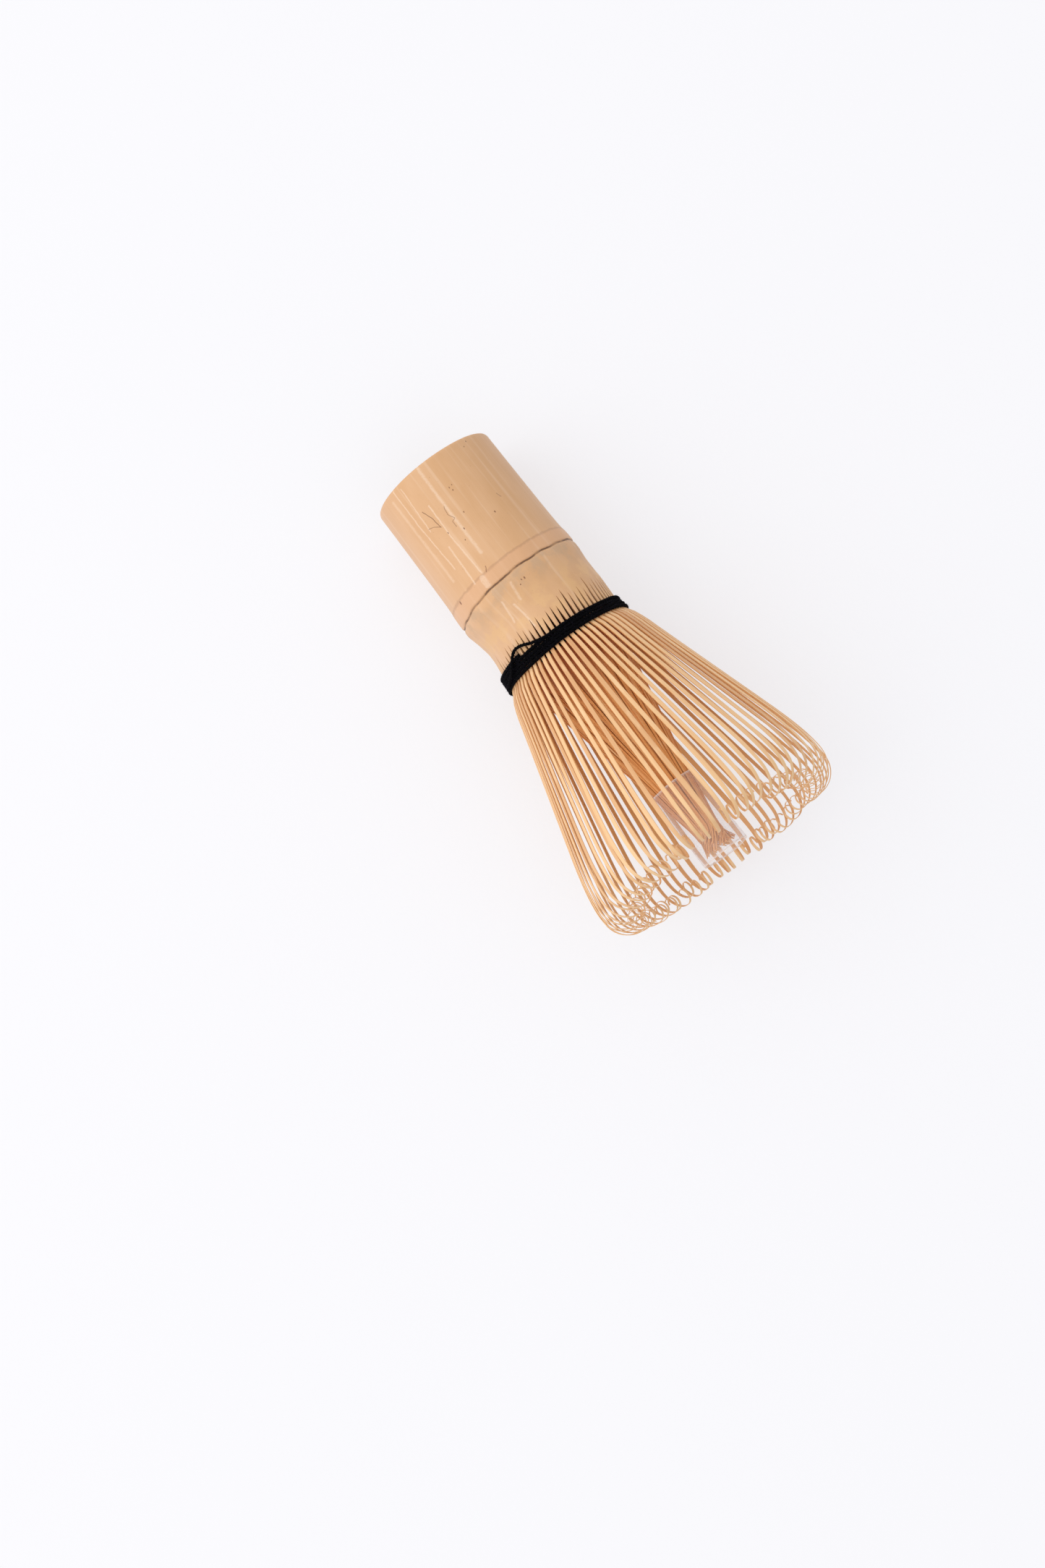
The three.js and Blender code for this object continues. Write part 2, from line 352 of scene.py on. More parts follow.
def use_group(board, group, **inputs):
    """Places an effect in a material and gives its outputs by name."""
    node = board.tree.nodes.new("ShaderNodeGroup")
    node.node_tree = group
    board.fill(node, **inputs)
    return {s.name: Wire(board, s) for s in node.outputs}


def bump(board, shader, height, distance, strength=1.0):
    node = board.add("ShaderNodeBump", Height=height, Distance=distance, Strength=strength)
    board.plug(shader.inputs["Normal"], node.outputs[0])


def linear(red, green, blue):
    """A colour given as 0 to 255 screen values."""
    def channel(value):
        value /= 255
        return value / 12.92 if value <= 0.04045 else ((value + 0.055) / 1.055) ** 2.4
    return (channel(red), channel(green), channel(blue), 1.0)


# Marks on the skin: (station, degrees from the top) points, half width, softness, strength.
# Degrees grow towards -Y.
PALE_STREAKS = [
    ([(-1, 9), (7, 10), (14.5, 10), (22.6, 10)], 0.08, 0.5, 0.55),
    ([(0.1, 40), (10, 40), (21.6, 37)], 0.05, 0.22, 0.6),
    ([(1.3, 32), (12.2, 34)], 0.04, 0.2, 0.55),
    ([(8, 21), (16, 22), (25.8, 20)], 0.06, 0.22, 0.65),
    ([(17.3, 29), (26.8, 30)], 0.06, 0.25, 0.6),
    ([(31.6, 6), (35.4, 9)], 0.08, 0.4, 0.45),
    ([(33.5, 22), (38.2, 26)], 0.06, 0.3, 0.55),
    ([(35.4, 16), (41.4, 14)], 0.08, 0.3, 0.6),
    ([(2, 47), (23, 46)], 0.1, 0.5, 0.35),
    ([(27, 22), (28.8, 22)], 0.5, 0.3, 0.45),
]
DARK_SCRATCHES = [
    ([(8, 29), (10.3, 25.5), (13, 24)], 0.03, 0.1, 0.75),
    ([(13, 24), (12, 29), (11.6, 34)], 0.03, 0.1, 0.5),
    ([(10.2, 11), (11.9, 13), (13.4, 10), (13.9, 13), (15.1, 13)], 0.03, 0.09, 0.55),
    ([(25.5, 14), (26.6, 16)], 0.04, 0.1, 0.6),
    ([(15.3, -33), (14.3, -31.5)], 0.03, 0.12, 0.45),
]
DARK_SPECKS = [
    (13.6, 1, 0.16), (17.4, -20, 0.2), (7.7, -2, 0.15), (7.5, -5, 0.12), (8.5, -3, 0.16),
    (18.4, 14, 0.15), (14.9, 22, 0.16), (27.1, 54, 0.34), (1.1, -40, 0.16), (32.4, -5, 0.22),
    (33.0, 1, 0.16), (2.0, -35, 0.14), (16.4, 9, 0.18), (32.3, -2, 0.14),
]


def drawn_marks(board, group, skin, marks):
    """The strongest of several drawn marks at each place."""
    total = None
    for points, half_width, softness, strength in marks:
        for start, end in zip(points, points[1:]):
            mask = use_group(
                board, group, Skin=skin, From=skin_point(*start), To=skin_point(*end),
                Half_Width=half_width, Softness=softness, Strength=strength,
            )["Mask"]
            total = mask if total is None else board.math("MAXIMUM", total, mask)
    return total


def skin_point(station, degrees):
    return (station, -math.radians(degrees) * SKIN_RADIUS, 0)


def material_bamboo_skin(effects, colours):
    """The handle's outside: waxy tan skin with fibres, pale streaks, scratches and specks."""
    material, board, shader = new_material("bamboo_skin")
    place = attribute(board, "place")
    unrolled = use_group(board, effects["round"], Place=place)
    station, arc, skin = unrolled["Station"], unrolled["Arc"], unrolled["Skin"]
    fibre = use_group(board, effects["fibre"], Along_Across=skin, Fineness=3.0, Stretch=0.02)
    wobble = board.noise(skin, 0.9, 3.0)
    sway = board.vector(wobble * 0.5 - 0.25, wobble * 0.4 - 0.2, 0.0)
    skin_wobbly = board.vector_math("ADD", skin, sway)

    colour = board.mix(board.ramp(fibre["Clouds"], 0.3, 0.7), colours.skin_mid, colours.skin_light)
    colour = board.mix(board.ramp(fibre["Streaks"], 0.52, 0.75) * 0.35, colour, colours.skin_pale)
    colour = board.mix(board.ramp(fibre["Fine"], 0.55, 0.85) * 0.22, colour, colours.skin_dark)
    # painted light makes the flank away from the top pinker and paler on the -Y side, and painted
    # shade makes it duller on the other
    colour = board.mix(board.ramp(arc, -6.0, -20.0) * 0.45, colour, colours.skin_painted_light)
    colour = board.mix(board.ramp(arc, 6.0, 17.0) * 0.4, colour, colours.skin_painted_shade)

    # pinkish band above the groove, with a reddish line where it starts
    scar = attribute(board, "scar", "Fac")
    edge = scar + GROOVE_STATION + (wobble - 0.5) * 0.7
    band = board.ramp(edge, 25.9, 26.6) * board.ramp(edge, 29.5, 29.2)
    colour = board.mix(band * 0.28, colour, colours.node_band)
    line = board.ramp(edge, 26.0, 26.35) * board.ramp(edge, 26.9, 26.4)
    colour = board.mix(line * 0.24, colour, colours.scratch)
    # weathered neck below the node: grey smudges and a clear yellow patch
    neck = board.ramp(scar, 0.05, 0.5)
    smudge = board.noise(skin, 0.28, 4.0, 0.6)
    worn = neck * board.ramp(station, 36.5, 30.5) * board.ramp(smudge, 0.42, 0.62)
    colour = board.mix(worn * 0.55, colour, colours.neck_grey)
    clear = neck * board.ramp(station, 32.0, 37.0) * board.ramp(smudge, 0.55, 0.4)
    colour = board.mix(clear * 0.5, colour, colours.neck_yellow)

    pale = drawn_marks(board, effects["mark"], skin_wobbly, PALE_STREAKS)
    ragged = board.ramp(board.noise(skin, 2.2, 3.0, 0.7), 0.25, 0.5)
    colour = board.mix(pale * ragged, colour, colours.skin_pale)
    dark = drawn_marks(board, effects["mark"], skin_wobbly, DARK_SCRATCHES)
    for speck_station, degrees, radius in DARK_SPECKS:
        centre = skin_point(speck_station, degrees)
        end = (centre[0] + radius, centre[1], 0)
        dot = use_group(
            board, effects["mark"], Skin=skin_wobbly, From=centre, To=end,
            Half_Width=radius * 0.35, Softness=radius * 0.7, Strength=0.8,
        )["Mask"]
        dark = board.math("MAXIMUM", dark, dot)
    fine_specks = use_group(
        board, effects["specks"], Skin=skin_wobbly, Spacing=1.6, Radius=0.07, Share=0.3,
    )
    dark = board.math("MAXIMUM", dark, fine_specks["Mask"] * 0.3)
    colour = board.mix(dark, colour, colours.scratch)

    # the scar groove
    groove_gap = board.math("ABSOLUTE", scar + (wobble - 0.5) * 0.25)
    faint = board.ramp(board.noise(skin, 0.35, 3.0), 0.32, 0.6, 0.45, 1.0)
    groove = board.ramp(groove_gap, 0.24, 0.08) * faint
    colour = board.mix(groove * 0.85, colour, colours.groove)
    # painted shade: the splits are painted dark brown where they are deep
    depth = attribute(board, "depth", "Fac")
    colour = board.mix(board.ramp(depth, 0.03, 0.7), colour, colours.split_painted_shade)

    rough = 0.42 + fibre["Fine"] * 0.12 + pale * 0.12 + worn * 0.15
    board.fill(shader, Base_Color=colour, Roughness=rough, Specular_IOR_Level=0.42)
    raised = fibre["Fine"] * 0.5 + fibre["Streaks"] * 0.6 + smudge * neck * 0.6
    bump(board, shader, raised - dark * 0.7 - groove * 1.5, 0.00006)
    return material


def material_bamboo_flesh(effects, colours):
    """Cut wood of the handle's inside: end grain with dark bundles, fibrous bore."""
    material, board, shader = new_material("bamboo_flesh")
    place = attribute(board, "place")
    unrolled = use_group(board, effects["round"], Place=place)
    station, sideways, up = board.split(place)
    skin = unrolled["Skin"]
    fibre = use_group(board, effects["fibre"], Along_Across=skin, Fineness=3.5, Stretch=0.03)
    across = board.vector(sideways, up, 0.0)
    radius = board.vector_math("LENGTH", across, output=1)
    bundles = use_group(
        board, effects["specks"], Skin=across, Spacing=0.62, Radius=0.2, Share=0.75,
    )["Mask"]
    crowd = board.ramp(radius, BORE_RADIUS, 14.0, 0.25, 1.0)
    on_end = board.ramp(station, 0.3, 0.12)
    colour = board.mix(fibre["Clouds"], colours.flesh, colours.flesh_light)
    fine = board.ramp(fibre["Fine"], 0.5, 0.8) * 0.35
    colour = board.mix(fine * (1.0 - on_end), colour, colours.flesh_dark)
    colour = board.mix(bundles * on_end * crowd * 0.75, colour, colours.flesh_dark)
    board.fill(shader, Base_Color=colour, Roughness=0.6 + fibre["Fine"] * 0.2)
    bump(board, shader, fibre["Fine"] + bundles * on_end, 0.0001)
    return material


def material_tine(name, effects, skin_side, wood, shade, tip, roughness, root_painted_shade):
    """A split strip: skin on its outer face, wood darkened with painted shade on the others, each
    strip of its own tone.
    """
    material, board, shader = new_material(name)
    grain = attribute(board, "grain")
    tone = attribute(board, "tone", "Fac")
    along, across, _ = board.split(grain)
    fibre = use_group(board, effects["fibre"], Along_Across=grain, Fineness=5.0, Stretch=0.035)
    on_skin = board.ramp(attribute(board, "skin_side", "Fac"), 0.55, 0.95)
    # the wood colour is partly real cut wood and partly painted shade on the strips' sides
    colour = board.mix(on_skin, wood, skin_side)
    colour = board.mix(board.ramp(fibre["Fine"], 0.45, 0.8) * 0.4, colour, shade)
    # some strips are darker or paler all along
    colour = board.mix(board.ramp(tone, 0.35, 0.0) * 0.45, colour, shade)
    colour = board.mix(board.ramp(tone, 0.65, 1.0) * 0.3, colour, tip)
    patches = board.noise(board.vector(along * 0.11, across * 0.4, 0.0), 1.0, 2.0)
    colour = board.mix(board.ramp(patches, 0.6, 0.7) * on_skin * 0.55, colour, tip)
    # paler towards the tip, and darker at the root with painted shade near the binding
    colour = board.mix(board.ramp(along, 38.0, 62.0) * 0.55, colour, tip)
    root_shade_colour = board.mix(1.0, colour, shade, "MULTIPLY")
    colour = board.mix(board.ramp(along, 17.0, 3.0) * root_painted_shade, colour, root_shade_colour)
    rough = roughness + fibre["Fine"] * 0.18
    board.fill(shader, Base_Color=colour, Roughness=rough, Specular_IOR_Level=0.4)
    bump(board, shader, fibre["Fine"] + fibre["Streaks"] * 0.5, 0.00005)
    return material


def material_black_thread(colours):
    """Cotton thread, nearly black, bluish where its fibres catch the light."""
    material, board, shader = new_material("black_thread")
    grain = attribute(board, "grain")
    along, across, loose = board.split(grain)
    strands = board.noise(board.vector(along * 2.5, across * 6.0, 0.0), 1.0, 3.0, 0.6)
    colour = board.mix(board.ramp(strands, 0.35, 0.75), colours.thread_dark, colours.thread)
    colour = board.mix(loose, colour, colours.thread_fuzz)
    rough = 0.85 + strands * 0.1
    board.fill(shader, Base_Color=colour, Roughness=rough, Specular_IOR_Level=0.06)
    bump(board, shader, strands, 0.0001)
    return material


def material_clear_film(colours):
    """Thin clear film, a little cloudy, with a painted highlight round each open edge."""
    material, board, shader = new_material("clear_film")
    place = attribute(board, "place")
    rim = attribute(board, "rim", "Fac")
    cloud = board.noise(place, 0.5, 3.0, 0.6)
    facing = board.wire(board.add("ShaderNodeLayerWeight", Blend=0.25), "Facing")
    # painted highlight and sheen: the film turns pale and more opaque along its cut edges and at
    # glancing angles
    alpha = 0.07 + board.ramp(cloud, 0.45, 0.8) * 0.06 + rim * 0.55 + facing * facing * 0.6
    colour = board.mix(rim, colours.film, colours.film_rim_highlight)
    board.fill(shader, Base_Color=colour, Roughness=0.12 + cloud * 0.12, Alpha=alpha, IOR=1.45)
    bump(board, shader, cloud, 0.00005, 0.4)
    return material


def material_table(colours):
    """Matt white table top that glows a little: painted light, which lifts its shadows."""
    material, board, shader = new_material("white_table")
    place = board.wire(board.add("ShaderNodeTexCoord"), "Object")
    fine = board.noise(place, 900.0, 2.0)
    broad = board.noise(place, 3.0, 2.0)
    colour = board.mix(board.ramp(broad, 0.3, 0.7) * 0.25, colours.table, colours.table_warm)
    board.fill(
        # painted light: the table glows
        shader, Base_Color=colour, Roughness=0.6,
        Emission_Color=colours.table_glow, Emission_Strength=0.6,
    )
    bump(board, shader, fine, 0.00002)
    return material


# ---------- meshes ----------


def add_object(name, mesh):
    piece = bpy.data.objects.new(name, mesh)
    bpy.context.scene.collection.objects.link(piece)
    return piece


def store(mesh, name, kind, values):
    layer = mesh.attributes.new(name, kind, "POINT")
    field = "vector" if kind == "FLOAT_VECTOR" else "value"
    layer.data.foreach_set(field, np.asarray(values, np.float32).ravel())


ENOUGH_FACES = 3000  # of a mesh, to tell which way it faces


def signed_volume(points, faces):
    """Above zero where the faces point outwards."""
    total = 0.0
    for face in faces:
        for b, c in zip(face[1:-1], face[2:]):
            total += np.dot(points[face[0]], np.cross(points[b], points[c]))
    return total


def turned_mesh(name, station, radius, azimuth, poles=False, tube=True):
    """A closed skin from a grid of rings: rows run along the outline, columns go round.

    With tube, the last ring joins the first. With poles, each end is closed by a point.
    """
    rows, columns = station.shape
    points = np.stack([station, radius * np.cos(azimuth), radius * np.sin(azimuth)], -1)
    points = points.reshape(-1, 3)
    row = np.arange(rows if tube else rows - 1)[:, None]
    column = np.arange(columns)[None, :]
    here, beside = row * columns + column, row * columns + (column + 1) % columns
    above = (row + 1) % rows * columns + column
    above_beside = (row + 1) % rows * columns + (column + 1) % columns
    faces = np.stack([here, beside, above_beside, above], -1).reshape(-1, 4).tolist()
    if poles:
        ends = np.array([[station[0].mean(), 0, 0], [station[-1].mean(), 0, 0]])
        first, last = len(points), len(points) + 1
        points = np.vstack([points, ends])
        top = (rows - 1) * columns
        for i in range(columns):
            j = (i + 1) % columns
            faces.append([first, j, i])
            faces.append([last, top + i, top + j])
    if signed_volume(points, faces[:: max(1, len(faces) // ENOUGH_FACES)]) < 0:
        faces = [face[::-1] for face in faces]
    mesh = bpy.data.meshes.new(name)
    mesh.from_pydata(points.tolist(), [], faces)
    mesh.update()
    return mesh, points


def finish_piece(name, mesh, materials, sharp_degrees):
    """Moves a mesh in whisk millimetres into the row frame and gives it its materials."""
    for material in materials:
        if material.name not in [m.name for m in mesh.materials if m]:
            mesh.materials.append(material)
    mesh.transform(WHISK)
    mesh.shade_smooth()
    mesh.set_sharp_from_angle(angle=math.radians(sharp_degrees))
    return add_object(name, mesh)


def waves(angle, rng, count, lowest, highest):
    """A smooth random wave round a circle, about -1 to 1."""
    total = np.zeros_like(angle)
    for _ in range(count):
        total += np.sin(rng.integers(lowest, highest + 1) * angle + rng.uniform(0, 2 * math.pi))
    return total / math.sqrt(count) / 1.2


def steps(*spans):
    """Stations in spans of (from, to, step), without the last point of each span."""
    return np.concatenate([np.arange(a, b - 1e-6, step) for a, b, step in spans])


def culm_stations():
    """Stations along the outside from the sawn end, then back through the bore."""
    outside = np.concatenate([
        [0.0, 0.08, 0.18, 0.32, 0.55, 1.0],
        steps((2, 25, 1.0), (25, 29, 0.3), (29, 30.4, 0.1), (30.4, 37, 0.6), (37, CULM_END, 0.28)),
        [CULM_END],
    ])
    walked_back = np.concatenate([steps((0, 12, 3.0), (12, 18, 0.5), (18, 45.6, 3.0)), [45.9]])
    return outside, CULM_END - walked_back


def split_rings(station, is_outside, rng):
    """Azimuth and depth of each point of the culm's rings, which open into slits near their end."""
    slit = np.arange(SLITS) * 2 * math.pi / SLITS
    start = SLIT_START - SLIT_SLANT * np.cos(slit) + rng.normal(0, 0.75, SLITS)
    start = np.where(rng.random(SLITS) < 0.12, start - 1.4, start)
    width = SLIT_WIDTH * rng.uniform(0.7, 1.3, SLITS)
    drift = rng.normal(0, 0.045, SLITS)
    opened = np.clip((station[:, None] - start) / (CULM_END - start), 0, 1)
    opened = np.where(is_outside, opened, 0)
    half = (0.03 + width * opened ** 0.8) / NECK_RADIUS
    centre = slit + drift * opened / NECK_RADIUS
    next_centre = np.roll(centre, -1, axis=1)
    next_centre[:, -1] += 2 * math.pi
    left, right = centre + half, next_centre - np.roll(half, -1, axis=1)
    strip_open = np.minimum(opened, np.roll(opened, -1, axis=1))
    azimuth = np.zeros((len(station), SLITS * SLIT_COLUMNS))
    depth = np.zeros_like(azimuth)
    azimuth[:, ::SLIT_COLUMNS] = centre
    depth[:, ::SLIT_COLUMNS] = SLIT_DEPTH * np.clip(opened * 2.2, 0, 1) ** 0.7
    for k, share in enumerate(np.linspace(0, 1, SLIT_COLUMNS - 1), 1):
        azimuth[:, k::SLIT_COLUMNS] = left + (right - left) * share
        rounding = 0.07 * np.clip(strip_open * 3, 0, 1) * (2 * share - 1) ** 4
        depth[:, k::SLIT_COLUMNS] = rounding
    return azimuth, depth


def culm_mesh():
    """The handle: skin outside with its split ends, sawn end, bore."""
    rng = np.random.default_rng(11)
    outside, bore = culm_stations()
    ring_station = np.concatenate([outside, bore, np.zeros(len(SAWN_END_RADII))])
    skin_radius = np.interp(outside, *np.transpose(CULM_OUTLINE))
    ring_radius = np.concatenate([skin_radius, np.full(len(bore), BORE_RADIUS), SAWN_END_RADII])
    is_outside = (np.arange(len(ring_station)) < len(outside))[:, None]
    azimuth, depth = split_rings(ring_station, is_outside, rng)
    columns = azimuth.shape[1]
    station = np.repeat(ring_station[:, None], columns, 1)
    radius = np.repeat(ring_radius[:, None], columns, 1)

    ridge = np.exp(-((station - RIDGE_STATION) / 2.0) ** 2) * is_outside
    radius += 0.07 * waves(azimuth, rng, 3, 2, 4) * (1 - 0.5 * ridge)
    radius += 0.05 * waves(azimuth, rng, 5, 5, 23) * ridge
    scar = station - GROOVE_STATION
    slant = 1.2 * np.exp(-((np.degrees(azimuth) - 165) / 38) ** 2)
    near_node = np.exp(-(scar / 3.2) ** 2) * is_outside
    station += (slant + 0.13 * waves(azimuth, rng, 7, 2, 19)) * near_node
    station += np.where(station < 0.01, 0.05 * waves(azimuth, rng, 3, 1, 4), 0)
    septum_middle = sum(SEPTUM_FACES) / 2
    at_septum = np.exp(-((station - septum_middle) / 0.9) ** 4) * ~is_outside * (radius < 11)
    radius -= 0.45 * at_septum
    mesh, points = turned_mesh("culm", station, radius - depth, azimuth)
    store(mesh, "place", "FLOAT_VECTOR", points)
    store(mesh, "scar", "FLOAT", scar)
    store(mesh, "depth", "FLOAT", depth)
    bent = NECK_BEND * np.exp(-((points[:, :1] - NECK_STATION) / 4.5) ** 2) * np.array([0, 1, 0])
    mesh.vertices.foreach_set("co", (points + bent).astype(np.float32).ravel())
    ring_of_face = np.arange(len(mesh.polygons)) // columns
    cut_wood = ring_of_face >= len(outside) - 1
    mesh.polygons.foreach_set("material_index", cut_wood.astype(np.int32))
    return mesh


def diaphragm_mesh():
    """The wall across the bore at the node, with ripples like dried skin."""
    rng = np.random.default_rng(5)
    azimuth = np.arange(96) * 2 * math.pi / 96
    radii = [0.5, 1.5, 3, 4.5, 6, 7.5, 9, 10, SEPTUM_RADIUS]
    station, radius = [], []
    for face, order in zip(SEPTUM_FACES, (radii, radii[::-1])):
        for r in order:
            dish = 0.5 * (1 - (r / SEPTUM_RADIUS) ** 2)
            ripple = 0.12 * waves(azimuth, rng, 4, 3, 14) * (r / SEPTUM_RADIUS) * (r < 10.2)
            station.append(face + dish + ripple)
            radius.append(np.full(len(azimuth), r))
    mesh, points = turned_mesh(
        "diaphragm", np.array(station), np.array(radius), np.tile(azimuth, (len(radius), 1)),
        poles=True, tube=False,
    )
    store(mesh, "place", "FLOAT_VECTOR", points)
    return mesh


def sleeve_mesh():
    """A slightly flattened roll of film, wider at the tips, with uneven cut edges."""
    rng = np.random.default_rng(3)
    azimuth = np.arange(120) * 2 * math.pi / 120
    share = np.concatenate([[0, 0.012, 0.03], np.linspace(0.08, 0.92, 22), [0.97, 0.988, 1]])
    share = share[:, None]
    crush = 0.12 * waves(azimuth, rng, 3, 2, 5)
    cut_start, cut_end = (0.2 * waves(azimuth, rng, 3, 1, 3) for _ in range(2))
    edge = cut_start * (1 - share) + cut_end * share
    station = SLEEVE_START + edge + share * (SLEEVE_END - SLEEVE_START)
    radius = SLEEVE_RADIUS + SLEEVE_FLARE * share + crush * (0.6 + share)
    rim = np.maximum(1 - share / 0.02, 1 - (1 - share) / 0.02).clip(0, 1) + 0 * azimuth

    def out_and_back(outside, inside):
        return np.vstack([outside, inside[::-1]])

    mesh, points = turned_mesh(
        "sleeve", out_and_back(station, station), out_and_back(radius, radius - FILM_THICKNESS),
        np.tile(azimuth, (2 * len(share), 1)),
    )
    store(mesh, "place", "FLOAT_VECTOR", points)
    store(mesh, "rim", "FLOAT", out_and_back(rim, rim))
    return mesh


# ---------- lines that pieces follow ----------


def smooth_line(points, count):
    """Points spaced evenly along a smooth line through the given ones."""
    points = np.array(points, float)
    padded = np.vstack([2 * points[0] - points[1], points, 2 * points[-1] - points[-2]])
    fine = []
    for p0, p1, p2, p3 in zip(padded, padded[1:], padded[2:], padded[3:]):
        t = np.linspace(0, 1, 24, endpoint=False)[:, None]
        fine.append(0.5 * (2 * p1 + (p2 - p0) * t + (2 * p0 - 5 * p1 + 4 * p2 - p3) * t ** 2
                           + (3 * p1 - p0 - 3 * p2 + p3) * t ** 3))
    fine = np.vstack([*fine, points[-1:]])
    walked = np.concatenate([[0], np.cumsum(np.linalg.norm(np.diff(fine, axis=0), axis=1))])
    even = np.linspace(0, walked[-1], count)
    return np.stack([np.interp(even, walked, fine[:, k]) for k in range(points.shape[1])], 1)


def outer_middle_line():
    """Straight to the start of the curl, then a curl that grows tighter to the tip."""
    straight = smooth_line(OUTER_ROOT_LINE, 60)
    step = CURL_LENGTH / CURL_SAMPLES
    walked = (np.arange(CURL_SAMPLES) + 0.5) * step
    bending = np.interp(walked, *np.transpose(CURL_BENDING)) * step
    heading = np.radians(CURL_HEADING - np.cumsum(bending))
    run = np.cumsum(np.stack([np.cos(heading), np.sin(heading)], 1) * step, axis=0)
    return np.vstack([straight, np.array(CURL_START) + run])


def curve_object(name, points):
    """A helper curve for a node tree to follow."""
    curve = bpy.data.curves.new(name, "CURVE")
    curve.dimensions = "3D"
    spline = curve.splines.new("POLY")
    spline.points.add(len(points) - 1)
    flat = np.column_stack([points, np.ones(len(points))]).astype(np.float32)
    spline.points.foreach_set("co", flat.ravel())
    return add_object(name, curve)


def in_radial_plane(line):
    """Takes (station, radius) points to the plane of azimuth 90 degrees."""
    return np.column_stack([line[:, 0], np.zeros(len(line)), line[:, 1]])


def line_length(points):
    return float(np.linalg.norm(np.diff(points, axis=0), axis=1).sum())


# ---------- tines ----------

TINE_INPUTS = [
    ("Middle Line", "NodeSocketObject"),
    ("Tines", "NodeSocketInt", 6),
    ("Segments", "NodeSocketInt", 56),
    ("Seed", "NodeSocketInt", 1),
    ("Section Azimuth", FLOAT),
    ("Pitch", FLOAT, math.radians(5)),
    ("Line Length", FLOAT, 70.0),
    ("Root Width", FLOAT, 0.84),
    ("Middle Width", FLOAT, 0.74),
    ("Tip Width", FLOAT, 0.15),
    ("Root Thickness", FLOAT, 0.7),
    ("Middle Thickness", FLOAT, 0.4),
    ("Tip Thickness", FLOAT, 0.13),
    ("Slim From", FLOAT, 0.5),
    ("Curl From", FLOAT, 0.5),
    ("Curl Start", VECTOR),
    ("Curl Spread", FLOAT, 0.2),
    ("Length Spread", FLOAT, 0.12),
    ("Flare", FLOAT, 0.6),
    ("Sway", FLOAT, 0.6),
    ("Curl Sway", FLOAT, 3.0),
    ("Shorter On Top", FLOAT, 0.0),
    ("Pressed Below", FLOAT, 0.0),
    ("Stray", FLOAT, 0.12),
    ("Layering", FLOAT, 0.0),
    ("Gather", FLOAT, 0.0),
    ("Swirl", FLOAT, 0.0),
    ("Material", "NodeSocketMaterial"),
]
TINE_SIDES = 8
PARTING = (47.0, 85.0)  # stations where the strips start to part and are fully parted
DRAWN_BACK = (52.0, 90.0)  # where the upper strips start to fall short, and do so in full
SWIRL_SPAN = (94.0, 100.0)  # where the bundle's tips turn aside
NEXT_STRIP = 3.1  # shifts in the fibre pattern from one strip, and one section, to the next
NEXT_SECTION = 40.0


